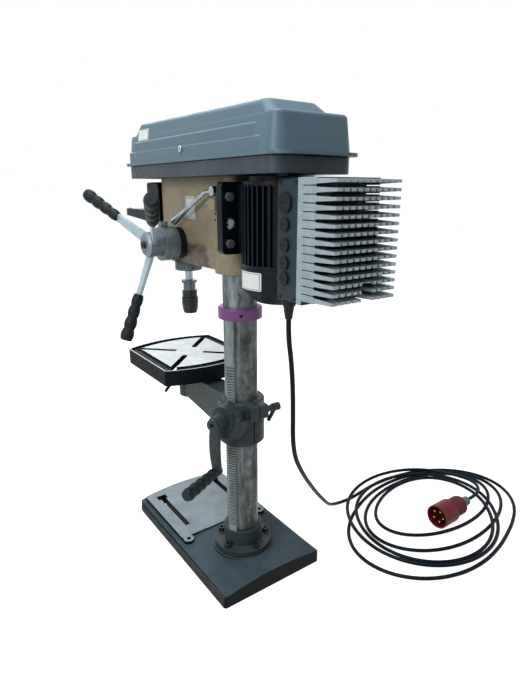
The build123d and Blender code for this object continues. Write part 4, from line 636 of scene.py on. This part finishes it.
# Each metal's name, tone, dirt, stretch, streak in mm, roughness, dirt share, metallic and rust.
metals = (
    # Ground smooth, then stained: a soft grey shine under dark streaks.
    ("ground_column_steel", "#879295", "#343B3D", upright, 8.0, 0.4, 0.95, 0.45, "#3E2E20"),
    # Milled teeth with oil and rust in them.
    ("milled_rack_steel", "#84908F", "#3A4343", upright, 2.5, 0.4, 0.6, 0.6, "#4A3928"),
    # Fresh from the lathe: bright, with fine lines round the shaft.
    ("turned_steel", "#A9B1B4", "#5F696D", crosswise, 1.5, 0.28, 0.45, 0.9),
    # Oiled and browned by hands: a dark satin grey.
    ("darkened_steel", "#626C71", "#333B3F", even, 2.0, 0.34, 0.5, 0.7),
    # Zinc coat with a pale bluish bloom.
    ("zinc_plated_steel", "#AFC0C9", "#8499A4", even, 6.0, 0.34, 0.35, 0.55),
    # Polished plating, a clear mirror with some grime.
    ("bright_chrome", "#B4BBBF", "#727B80", even, 12.0, 0.14, 0.45, 1.0),
    # Blackened and oiled, with only a weak shine left.
    ("black_oxide_steel", "#182126", "#0B1114", even, 3.0, 0.42, 0.4, 0.3),
    # Cast and tumbled: a flat mid grey.
    ("cast_zinc", "#7E8A90", "#525C61", even, 2.0, 0.4, 0.4, 0.75),
    # The sink's raw casting, pale and dry.
    ("die_cast_aluminium", "#9BAAB0", "#69777D", even, 2.6, 0.44, 0.35, 0.5),
    # Turned casting, light and clean under the cover.
    ("pulley_aluminium", "#B6BFC3", "#848F94", even, 2.6, 0.36, 0.25, 0.8),
    # Warm yellow contact pins.
    ("turned_brass", "#B4934E", "#755E33", even, 2.0, 0.3, 0.3, 1.0),
)
for metal in metals:
    bare_metal(*metal)
# Painted shade and a painted dark reflection: the column's sides facing along Y darken from 0.66 m
# down to 0.56 m.
side_fence = ("Y", 0.023, 0.034)
darken_along_axis("ground_column_steel", "Z", 0.66, 0.56, "#2A2522", 0.75, patch_mm=20, fence=side_fence)
# Painted shade deep between the sink's fins: darker towards the fin roots, and not on the end faces.
fin_fence = ("X", 0.0668, 0.0655)
darken_along_axis("die_cast_aluminium", "Y", 0.345, 0.315, "#141C1F", 1.3, patch_mm=30, fence=fin_fence)
print("metals:", len(metals))

# %% [markdown]
# ## Plastics and rubber
# The cover is a vacuum-formed sheet, satin with a very fine grain. Grips and cases are moulded,
# with a spark-eroded texture that shows as a dull, even skin. The lead has a rubber sheath: nearly
# black, a little glossy on its back, with dust in places.


# %% Moulded skins
def moulded(name, tint, dust, texture_mm, gloss, dust_share, bump, shine, edge_tint=None):
    """A plastic or rubber skin with a moulded texture, a little dust and, if tinted, worn edges."""
    cloud_mm, edge_mm, grit_m, rub_share = 55, 1.2, 0.0003, 0.6
    tree, shader, place = begin(name, shine)
    grit = add_node(
        tree, "ShaderNodeTexNoise", {"Vector": place, "Scale": grain(texture_mm), "Detail": 2.0}
    )
    cloud = add_node(
        tree,
        "ShaderNodeTexNoise",
        {"Vector": place, "Scale": grain(cloud_mm), "Detail": 6.0, "Roughness": 0.6},
    )
    share = add_node(
        tree,
        "ShaderNodeMapRange",
        {"Value": cloud.outputs[0], "From Min": 0.4, "From Max": 0.72, "To Max": dust_share},
    )
    skin = add_node(
        tree,
        "ShaderNodeMix",
        {SHARE: share.outputs[0], UNDER: colour(tint), OVER: colour(dust)},
        data_type="RGBA",
    )
    round_normal = rounded_edges(tree, edge_mm)
    if edge_tint:
        edge = edge_mask(tree, round_normal, 0.96, 0.75)
        rub = add_node(tree, "ShaderNodeMath", {0: edge, 1: rub_share}, operation="MULTIPLY")
        skin = add_node(
            tree,
            "ShaderNodeMix",
            {SHARE: rub.outputs[0], UNDER: skin.outputs[MIXED], OVER: colour(edge_tint)},
            data_type="RGBA",
        )
    dull = add_node(
        tree,
        "ShaderNodeMapRange",
        {**noise_span, "Value": cloud.outputs[0], "To Min": gloss - 0.05, "To Max": gloss + 0.1},
    )
    pebble = add_node(
        tree,
        "ShaderNodeBump",
        {"Strength": bump, "Distance": grit_m, "Height": grit.outputs[0], "Normal": round_normal},
    )
    complete(tree, shader, skin.outputs[MIXED], dull.outputs[0], pebble.outputs[0])


# Each skin's name, tint, dust, texture in mm, roughness, dust share, bump, shine and worn edge.
skins = (
    # Satin sheet, paler where its corners are rubbed.
    ("blue_grey_formed_abs", "#4C6573", "#586F7C", 0.8, 0.4, 0.45, 0.1, 0.3, "#70899A"),
    # Black mouldings with greyed edges.
    ("black_moulded_nylon", "#0A1419", "#162127", 0.9, 0.42, 0.4, 0.18, 0.16, "#2F3B42"),
    # The inverter's case, dark grey and dull.
    ("dark_grey_cast_case", "#1A2931", "#24343D", 1.2, 0.42, 0.4, 0.18, 0.2, "#45545D"),
    # The one bright colour on the column, a plain purple.
    ("purple_painted_collar", "#6B3D76", "#5B3466", 1.0, 0.4, 0.5, 0.18, 0.35, "#8D6496"),
    # Near black, with hardly a highlight.
    ("black_rubber_sheath", "#08131B", "#14222C", 1.4, 0.42, 0.5, 0.1, 0.08),
    # The plug's deep red, with pink edges.
    ("red_moulded_nylon", "#641019", "#4A0B13", 1.0, 0.36, 0.45, 0.18, 0.3, "#86343F"),
    # Polished push buttons.
    ("green_gloss_cap", "#2E8B4F", "#2A7D48", 2.0, 0.22, 0.2, 0.05, 0.5),
    ("red_gloss_cap", "#C3252B", "#B12228", 2.0, 0.22, 0.2, 0.05, 0.5),
    # Cloth-faced rubber, quite matt.
    ("ribbed_belt_rubber", "#141618", "#232527", 1.0, 0.6, 0.4, 0.18, 0.35),
    # Off-white printing film.
    ("pale_label_film", "#D3D9D9", "#BAC2C3", 3.0, 0.4, 0.6, 0.04, 0.4),
)
for skin in skins:
    moulded(*skin)
print("finishes in all:", len(finishes))

# %% [markdown]
# The plug is moulded in two colours: the red shell, and a grey gland nut at the end where the lead
# goes in. The nut ends at one place along the plug, so one coordinate parts the two.

# %% Part the plug's colours
nut_end_m = -0.5685
plug_tree, plug_shader, plug_place = paint_of("red_moulded_nylon")
along = add_node(plug_tree, "ShaderNodeSeparateXYZ", {0: plug_place}).outputs["X"]
nut = add_node(plug_tree, "ShaderNodeMath", {0: along, 1: nut_end_m}, operation="LESS_THAN")
lay_over(plug_tree, plug_shader, nut.outputs[0], "#566166")
print("grey nut behind x =", nut_end_m)

# %% [markdown]
# ## The free cord
# The lead leaves a gland under the inverter, hangs down, swings to the floor and is thrown into a
# loose coil with a red five-pin plug inside. It is one long rubber tube, so it is one spline whose
# control points are those of the CAD route: the hanging stretch, the turns of the coil and the tail
# into the plug. A quadratic NURBS rounds every corner by itself, as a real lead does.
#
# The coil winds inwards on the floor, climbs, and winds outwards again on top of itself. Each layer
# is a set of ovals that shrink and drift with each turn inwards, with a bulge towards one side,
# where loose turns have slid out. The route is in millimetres and the angles in degrees.

# %% Lay the lead
floor_z, layer_rise = 4.8, 10.2
hanging = [
    (54, 232, 645),
    (54, 232, 612),
    (42, 226, 568),
    (33, 221, 510),
    (29, 218, 455),
    (27, 216, 405),
    (12, 206, 358),
    (-20, 185, 312),
    (-60, 158, 262),
    (-103, 130, 212),
    (-150, 99, 160),
    (-196, 68, 112),
    (-240, 37, 68),
    (-282, 6, 30),
    (-328, -9, 9),
    (-374, -10, floor_z),
    (-420, -15, floor_z),
    (-468, -21.5, floor_z),
]
coil_turns, turns_inwards = 5.2, 3.07
climb_start, climb_turns = 2.82, 0.5
points_per_turn = 24
# Each layer's centre, drift, radii, shrink, bulge, fading of the bulge with depth, and its side.
floor_layer = ((-518.7, 169.3), (-11.3, -12.7), (280.4, 190.8), 29.8, 105, 55, 30)
top_layer = ((-495.1, 132.5), (1.8, 8.6), (245.3, 206.1), 19.6, 45, 0, 60)


def oval_point(layer, depth, a):
    """Where a layer's oval passes the angle a, as many turns inwards as depth says."""
    (x, y), (drift_x, drift_y), (radius_x, radius_y), shrink, bulge, fade, side = layer
    lobe = max(math.cos(a - math.radians(side)), 0) ** 2
    grown = max(bulge - fade * depth, 0) * lobe - shrink * depth
    return (
        x + drift_x * depth + (radius_x + grown) * math.cos(a),
        y + drift_y * depth + (radius_y + grown) * math.sin(a),
    )


def coil_point(t):
    """A point of the coil after t turns: in on the floor, up in half a turn, out on top."""
    depth = t if t < turns_inwards else 2 * turns_inwards - t
    climb = min(max((t - climb_start) / climb_turns, 0), 1)
    climb = climb * climb * (3 - 2 * climb)
    a = -math.pi / 2 - 2 * math.pi * t
    low_x, low_y = oval_point(floor_layer, depth, a)
    high_x, high_y = oval_point(top_layer, depth, a)
    return (
        low_x + climb * (high_x - low_x),
        low_y + climb * (high_y - low_y),
        floor_z + layer_rise * climb,
    )


steps = round(points_per_turn * coil_turns)
coil = [coil_point(i * coil_turns / steps) for i in range(steps + 1)]
last = Vector(coil[-1])
just_before = Vector(coil_point(coil_turns - 1e-4))
straight_on = 30
tail = [
    tuple(last + (last - just_before).normalized() * straight_on),
    (-722, 140, 19),
    (-708, 174, 25),
    (-680, 199, 29),
    (-642, 212, 31.3),
    (-600, 212, 31.3),
]
lead_curve = bpy.data.curves.new("mains_lead", "CURVE")
lead_curve.dimensions = "3D"
lead_spline = lead_curve.splines.new("NURBS")
route = hanging + coil + tail
lead_spline.points.add(len(route) - 1)
for point, at in zip(lead_spline.points, route):
    point.co = (at[0] * mm, at[1] * mm, at[2] * mm, 1)
lead_spline.order_u = 3
lead_spline.use_endpoint_u = True
lead_spline.resolution_u = 6
lead_curve.bevel_depth = 0.0045
lead_curve.bevel_resolution = 4
lead_curve.use_fill_caps = True
lead_curve.materials.append(finishes["black_rubber_sheath"])
mains_lead = put("mains_lead", lead_curve)
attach(mains_lead, "motor")
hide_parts("mains_cord", "cord_coil", "plug_tail")
print("lead of", len(route), "control points")

# %% [markdown]
# ## The V-belt
# Under the cover a V-belt joins the middle steps of the two pulleys. The motor slides on its bars
# to slacken it, and one end of the real belt stays at the spindle while the other goes with the
# motor.
# Here the belt is a V section carried round both pulleys where they stand, and rides on no body.

# %% Carry the belt round the pulleys
spindle_y, motor_y, belt_z = -0.224, 0.140, 0.908
spindle_wrap_r, motor_wrap_r = 0.0444, 0.0364
lean = math.asin((spindle_wrap_r - motor_wrap_r) / (motor_y - spindle_y))
v_section = ((-0.003, -0.0024), (0.0034, -0.0042), (0.0034, 0.0042), (-0.003, 0.0024))
arc_steps = 28
wraps = (
    (motor_y, motor_wrap_r, lean, math.pi - 2 * lean),
    (spindle_y, spindle_wrap_r, math.pi - lean, math.pi + 2 * lean),
)
belt = bmesh.new()
rings = []
for y, wrap_r, start, sweep in wraps:
    for step in range(arc_steps + 1):
        a = start + sweep * step / arc_steps
        ring = []
        for out, up in v_section:
            r = wrap_r + out
            ring.append(belt.verts.new((r * math.cos(a), y + r * math.sin(a), belt_z + up)))
        rings.append(ring)
for ring, following in zip(rings, rings[1:] + rings[:1]):
    for i in range(len(v_section)):
        j = (i + 1) % len(v_section)
        belt.faces.new((ring[i], ring[j], following[j], following[i]))
bmesh.ops.recalc_face_normals(belt, faces=belt.faces)
belt_mesh = bpy.data.meshes.new("v_belt")
belt.to_mesh(belt_mesh)
belt.free()
belt_mesh.materials.append(finishes["ribbed_belt_rubber"])
v_belt = put("v_belt", belt_mesh)
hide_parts("drive_belt")
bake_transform(v_belt)
print("belt of", len(rings), "stations")

# %% [markdown]
# ## Bars round a ring
# The depth ring is engraved with short lines, the speed dial has a ring of strokes, and the plug
# has grip ribs. All are one thing: equal bars on a circle, each turned to face outwards. A geometry
# tree makes it from a mesh circle, whose points carry one bar each. The bar's depth runs outwards,
# its width round the circle and its length along the axis. A transform sets the ring in place.


# %% The tree for bars round a ring
def new_tree(name, inputs):
    """A geometry tree with named inputs, its group input and its group output."""
    tree = bpy.data.node_groups.new(name, "GeometryNodeTree")
    tree.interface.new_socket("Geometry", in_out="OUTPUT", socket_type="NodeSocketGeometry")
    for label, kind in inputs:
        tree.interface.new_socket(label, in_out="INPUT", socket_type="NodeSocket" + kind)
    return tree, tree.nodes.new("NodeGroupInput").outputs, tree.nodes.new("NodeGroupOutput")


ring_tree, given, ring_out = new_tree(
    "bars_round_a_ring",
    (
        ("Count", "Int"),
        ("Radius", "Float"),
        ("Bar", "Vector"),
        ("Centre", "Vector"),
        ("Turn", "Vector"),
        ("Finish", "Material"),
    ),
)
circle = add_node(
    ring_tree, "GeometryNodeMeshCircle", {"Vertices": given["Count"], "Radius": given["Radius"]}
)
bar = add_node(ring_tree, "GeometryNodeMeshCube", {"Size": given["Bar"]})
spot = add_node(ring_tree, "GeometryNodeInputPosition")
outward = add_node(
    ring_tree, "FunctionNodeAlignRotationToVector", {"Vector": spot.outputs[0]}, axis="X"
)
bars = add_node(
    ring_tree,
    "GeometryNodeInstanceOnPoints",
    {"Points": circle.outputs[0], "Instance": bar.outputs[0], "Rotation": outward.outputs[0]},
)
facing = add_node(ring_tree, "FunctionNodeEulerToRotation", {0: given["Turn"]})
ring_set = add_node(
    ring_tree,
    "GeometryNodeTransform",
    {"Geometry": bars.outputs[0], "Translation": given["Centre"], "Rotation": facing.outputs[0]},
)
ring_real = add_node(ring_tree, "GeometryNodeRealizeInstances", {0: ring_set.outputs[0]})
ring_done = add_node(
    ring_tree,
    "GeometryNodeSetMaterial",
    {"Geometry": ring_real.outputs[0], "Material": given["Finish"]},
)
ring_tree.links.new(ring_done.outputs[0], ring_out.inputs[0])
print("ring tree with", len(ring_tree.nodes), "nodes")

# %% [markdown]
# A tree's result becomes a plain mesh before it rides on a body: the modifier gets its inputs by
# their identifiers, the evaluated object is copied into a new mesh, and the modifier goes.


# %% Grow a tree into a piece
def grow(name, tree, values, body, start_mesh=None):
    """Runs a geometry tree with the given inputs and leaves a plain mesh that rides on a body."""
    piece = put(name, start_mesh or bpy.data.meshes.new(name))
    modifier = piece.modifiers.new("grow", "NODES")
    modifier.node_group = tree
    for item in tree.interface.items_tree:
        if item.in_out == "INPUT" and item.name in values:
            modifier[item.identifier] = values[item.name]
    piece.update_tag()
    view = bpy.context.evaluated_depsgraph_get()
    plain = bpy.data.meshes.new_from_object(piece.evaluated_get(view))
    piece.modifiers.clear()
    piece.data = plain
    plain.name = name
    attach(piece, body)
    print(name, "has", len(plain.polygons), "faces and", len(plain.materials), "finish")


# %% Lines, strokes and ribs
along_x = (0.0, math.pi / 2, 0.0)
upwards = (0.0, 0.0, 0.0)
feed_y, feed_z = -0.184, 0.7375
depth_ring_r = 0.0370
# Each set of depth lines: its name, count, bar and place along the shaft.
depth_lines = (
    ("depth_ring_lines", 60, (0.0004, 0.0007, 0.006), 0.0615),
    ("depth_ring_long_lines", 12, (0.0005, 0.0009, 0.011), 0.0640),
)
for name, count, size, x in depth_lines:
    grow(
        name,
        ring_tree,
        {
            "Count": count,
            "Radius": depth_ring_r,
            "Bar": size,
            "Centre": (x, feed_y, feed_z),
            "Turn": along_x,
            "Finish": finishes["black_moulded_nylon"],
        },
        "depth_ring",
    )
grow(
    "speed_dial_strokes",
    ring_tree,
    {
        "Count": 24,
        "Radius": 0.0175,
        "Bar": (0.0035, 0.0009, 0.0004),
        "Centre": (0.0, -0.435, 0.8051),
        "Turn": upwards,
        "Finish": finishes["pale_label_film"],
    },
    "stand",
)
grow(
    "plug_ribs",
    ring_tree,
    {
        "Count": 26,
        "Radius": 0.0244,
        "Bar": (0.0022, 0.0026, 0.034),
        "Centre": (-0.548, 0.212, 0.0313),
        "Turn": along_x,
        "Finish": finishes["red_moulded_nylon"],
    },
    "motor",
)

# %% [markdown]
# ## Small screws
# Socket screws hold the fan cowl, the inverter case, the console, the switch box and spring cap.
# A second tree puts one head on every point of a small mesh and turns it along the point's own
# direction, which the mesh carries as an attribute. The head is a short cylinder with a six-sided
# socket cut out of it.

# %% The tree for screws on points
head_sides, socket_sides = 20, 6
socket_width, socket_lift = 0.52, 0.45
screw_tree, given, screw_out = new_tree(
    "screws_on_points",
    (
        ("Points", "Geometry"),
        ("Head radius", "Float"),
        ("Head height", "Float"),
        ("Finish", "Material"),
    ),
)
radius, height = given["Head radius"], given["Head height"]
head = add_node(
    screw_tree,
    "GeometryNodeMeshCylinder",
    {"Vertices": head_sides, "Radius": radius, "Depth": height},
)
socket_r = add_node(
    screw_tree, "ShaderNodeMath", {0: radius, 1: socket_width}, operation="MULTIPLY"
)
socket = add_node(
    screw_tree,
    "GeometryNodeMeshCylinder",
    {"Vertices": socket_sides, "Radius": socket_r.outputs[0], "Depth": height},
)
lift = add_node(screw_tree, "ShaderNodeMath", {0: height, 1: socket_lift}, operation="MULTIPLY")
lift = add_node(screw_tree, "ShaderNodeCombineXYZ", {"Z": lift.outputs[0]})
socket = add_node(
    screw_tree,
    "GeometryNodeTransform",
    {"Geometry": socket.outputs[0], "Translation": lift.outputs[0]},
)
cut = add_node(
    screw_tree,
    "GeometryNodeMeshBoolean",
    {0: head.outputs[0], 1: socket.outputs[0]},
    operation="DIFFERENCE",
)
way = add_node(
    screw_tree, "GeometryNodeInputNamedAttribute", {"Name": "facing"}, data_type="FLOAT_VECTOR"
)
aim = add_node(
    screw_tree, "FunctionNodeAlignRotationToVector", {"Vector": way.outputs[0]}, axis="Z"
)
screws = add_node(
    screw_tree,
    "GeometryNodeInstanceOnPoints",
    {"Points": given["Points"], "Instance": cut.outputs[0], "Rotation": aim.outputs[0]},
)
screw_real = add_node(screw_tree, "GeometryNodeRealizeInstances", {0: screws.outputs[0]})
screw_done = add_node(
    screw_tree,
    "GeometryNodeSetMaterial",
    {"Geometry": screw_real.outputs[0], "Material": given["Finish"]},
)
screw_tree.links.new(screw_done.outputs[0], screw_out.inputs[0])
print("screw tree with", len(screw_tree.nodes), "nodes")


# %% Set the screws
def screw_points(name, places):
    """A mesh of single points, each with the way that its screw faces."""
    mesh = bpy.data.meshes.new(name)
    mesh.from_pydata([at for at, _ in places], [], [])
    ways = mesh.attributes.new("facing", "FLOAT_VECTOR", "POINT")
    for stored, (_, way) in zip(ways.data, places):
        stored.vector = way
    return mesh


rightwards, leftwards, up_z = (1.0, 0.0, 0.0), (-1.0, 0.0, 0.0), (0.0, 0.0, 1.0)
cowl_r, cowl_screw_z = 0.0745, 0.709
case_x = 0.0675
motor_places = []
for degrees in (48, 110, 170, 235, 310):
    a = math.radians(degrees)
    way = (math.cos(a), math.sin(a), 0.0)
    motor_places.append(((cowl_r * way[0], motor_y + cowl_r * way[1], cowl_screw_z), way))
motor_places += [((case_x, y, z), rightwards) for y in (0.2225, 0.2605) for z in (0.683, 0.864)]
grow(
    "cowl_screws",
    screw_tree,
    {"Head radius": 0.0036, "Head height": 0.0026, "Finish": finishes["black_oxide_steel"]},
    "motor",
    screw_points("cowl_points", motor_places),
)
console_top, switch_box_x = 0.8055, 0.0455
cap_x, cap_circle_r = -0.0645, 0.022
stand_places = [((x, y, console_top), up_z) for x in (-0.041, 0.041) for y in (-0.345, -0.462)]
for side in (-1.0, 1.0):
    for y in (-0.329, -0.284):
        for z in (0.783, 0.862):
            stand_places.append(((side * switch_box_x, y, z), (side, 0.0, 0.0)))
for degrees in (30, 150, 270):
    a = math.radians(degrees)
    at = (cap_x, feed_y + cap_circle_r * math.cos(a), feed_z + cap_circle_r * math.sin(a))
    stand_places.append((at, leftwards))
grow(
    "case_screws",
    screw_tree,
    {"Head radius": 0.0034, "Head height": 0.0024, "Finish": finishes["darkened_steel"]},
    "stand",
    screw_points("case_points", stand_places),
)

# %% [markdown]
# ## Bare plates
# The machine carries a type plate on the fan cowl, a card on the head and a sticker on the cover.
# They are left bare: pale film with a thin printed frame and nothing in it. Each is a sheet with
# rounded corners, cut flat into upright strips, thickened, and then laid on its surface by a small
# function, so that the one on the round cowl bends with it. Its own UV map runs from edge to edge
# and places the printed frame.

# %% Print the frame on the film
line_at, line_half = 0.43, 0.014
film_tree, film_shader, _ = paint_of("pale_label_film")
sheet_uv = add_node(film_tree, "ShaderNodeUVMap", uv_map="sheet")
edge_way = add_node(
    film_tree,
    "ShaderNodeVectorMath",
    {0: sheet_uv.outputs[0], 1: (0.5, 0.5, 0.0)},
    operation="SUBTRACT",
)
edge_way = add_node(
    film_tree, "ShaderNodeVectorMath", {0: edge_way.outputs[0]}, operation="ABSOLUTE"
)
edge_at = add_node(film_tree, "ShaderNodeSeparateXYZ", {0: edge_way.outputs[0]}).outputs
edge_far = add_node(
    film_tree, "ShaderNodeMath", {0: edge_at["X"], 1: edge_at["Y"]}, operation="MAXIMUM"
)
in_line = add_node(
    film_tree,
    "ShaderNodeMath",
    {0: edge_far.outputs[0], 1: line_at, 2: line_half},
    operation="COMPARE",
)
lay_over(film_tree, film_shader, in_line.outputs[0], "#59646A")
print("printed frame on the film")

# %% Cut and lay the plates
corner_steps, middle_steps = 4, 6


def bare_plate(name, width, height, corner, thick, lay, body):
    """A rounded sheet in upright strips, laid by a function of across, up and out."""
    straight = width / 2 - corner
    turns = [math.radians(step * 90 / corner_steps) for step in range(corner_steps + 1)]
    cuts = [width / 2 - corner * (1 - math.sin(turn)) for turn in turns]
    middle = [i * straight / middle_steps for i in range(1 - middle_steps, middle_steps)]
    across = [-x for x in reversed(cuts)] + middle + cuts
    sheet = bmesh.new()
    uv = sheet.loops.layers.uv.new("sheet")
    posts = []
    for x in across:
        into = max(abs(x) - straight, 0)
        half = height / 2 - corner + math.sqrt(max(corner * corner - into * into, 0))
        posts.append((sheet.verts.new((x, -half, 0)), sheet.verts.new((x, half, 0))))
    strips = []
    for left, right in zip(posts, posts[1:]):
        strips.append(sheet.faces.new((left[0], right[0], right[1], left[1])))
    for strip in strips:
        for loop in strip.loops:
            loop[uv].uv = (loop.vert.co.x / width + 0.5, loop.vert.co.y / height + 0.5)
    raised = bmesh.ops.extrude_face_region(sheet, geom=strips)
    for item in raised["geom"]:
        if isinstance(item, bmesh.types.BMVert):
            item.co.z = thick
    bmesh.ops.recalc_face_normals(sheet, faces=sheet.faces)
    for vert in sheet.verts:
        vert.co = lay(*vert.co)
    mesh = bpy.data.meshes.new(name)
    sheet.to_mesh(mesh)
    sheet.free()
    mesh.materials.append(finishes["pale_label_film"])
    piece = put(name, mesh)
    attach(piece, body)
    print(name, round(width * 1000), "by", round(height * 1000), "mm")


def on_cowl(across, up, out):
    """Bends a sheet round the fan cowl, facing right."""
    middle_turn, middle_z = math.radians(3), 0.6985
    bend_r, wall_r = 0.074, 0.0739
    a = middle_turn + across / bend_r
    r = wall_r + out
    return (r * math.cos(a), motor_y + r * math.sin(a), middle_z + up)


def on_head(across, up, out):
    """Lays a sheet on the right wall of the head."""
    wall_x, middle_y, middle_z = 0.0399, -0.128, 0.8155
    return (wall_x + out, middle_y + across, middle_z + up)


def on_cover(across, up, out):
    """Lays a sheet on the leaning right side of the cover's crown, near the front."""
    foot_x, foot_z, lean_in = 0.0796, 0.956, 0.1316
    middle_y, middle_z = -0.2625, 0.9675
    z = middle_z + up
    return (foot_x - (z - foot_z) * lean_in + out, middle_y + across, z)


bare_plate("cowl_plate", 0.057, 0.032, 0.002, 0.0007, on_cowl, "motor")
bare_plate("head_card", 0.042, 0.046, 0.003, 0.0007, on_head, "stand")
bare_plate("cover_sticker", 0.055, 0.023, 0.002, 0.0007, on_cover, "cover")

# %% [markdown]
# ## Dressing the solids
# Every solid that shows as it is keeps its shape and takes a finish. The list goes by finish. The
# four solids that it leaves out are the ones that the lead and the belt stand for.

# %% Give each solid its finish
dress = {
    "slate_enamel_on_cast_iron": ("base",),
    "dark_grey_cast_iron": ("column_foot", "table_bracket", "crank"),
    "black_oxide_steel": ("foot_screws", "clamp_lever", "chuck_sleeve", "hub_screw", "table_lever"),
    "ground_column_steel": ("column",),
    "milled_rack_steel": ("table_rack", "lift_gear"),
    "purple_painted_collar": ("rack_collar",),
    "tan_enamel_on_cast_iron": ("head",),
    "darkened_steel": ("quill_collar", "chuck_body", "chuck_jaw_a", "chuck_jaw_b", "chuck_jaw_c"),
    "turned_steel": ("quill", "spindle", "spindle_bearings", "sleeve_bearings", "feed_shaft")
    + ("slide_bars", "motor_rotor", "return_spring", "motor_bolts"),
    "bright_chrome": ("motor_lever", "cover_screw"),
    "cast_zinc": ("feed_hub", "depth_ring"),
    "zinc_plated_steel": ("feed_arms",),
    "black_moulded_nylon": ("feed_grips", "crank_grip", "spring_cap", "scale_ring", "cable_gland")
    + ("blanking_plugs", "switch_box", "control_console", "speed_knob"),
    "charcoal_enamel_on_sheet": ("belt_tray",),
    "blue_grey_formed_abs": ("belt_cover",),
    "black_enamel_on_aluminium": ("motor_plate", "motor_housing", "fan_cowl"),
    "dark_grey_cast_case": ("inverter_case",),
    "die_cast_aluminium": ("heat_sink",),
    "pulley_aluminium": ("spindle_pulley", "motor_pulley"),
    "black_enamel_on_table_iron": ("table",),
    "red_moulded_nylon": ("plug_body",),
    "turned_brass": ("plug_pins",),
    "green_gloss_cap": ("start_button",),
    "red_gloss_cap": ("stop_button",),
}
dressed = set()
for finish_name, names in dress.items():
    for name in names:
        mesh = parts[name].data
        mesh.materials.clear()
        mesh.materials.append(finishes[finish_name])
        dressed.add(name)
print("dressed", len(dressed), "solids, not dressed:", sorted(set(parts) - dressed))

# %% [markdown]
# ## View transform
# The view shows the colours through the Standard transform.

# %% Finish
bpy.context.scene.view_settings.view_transform = "Standard"
bpy.context.view_layer.update()
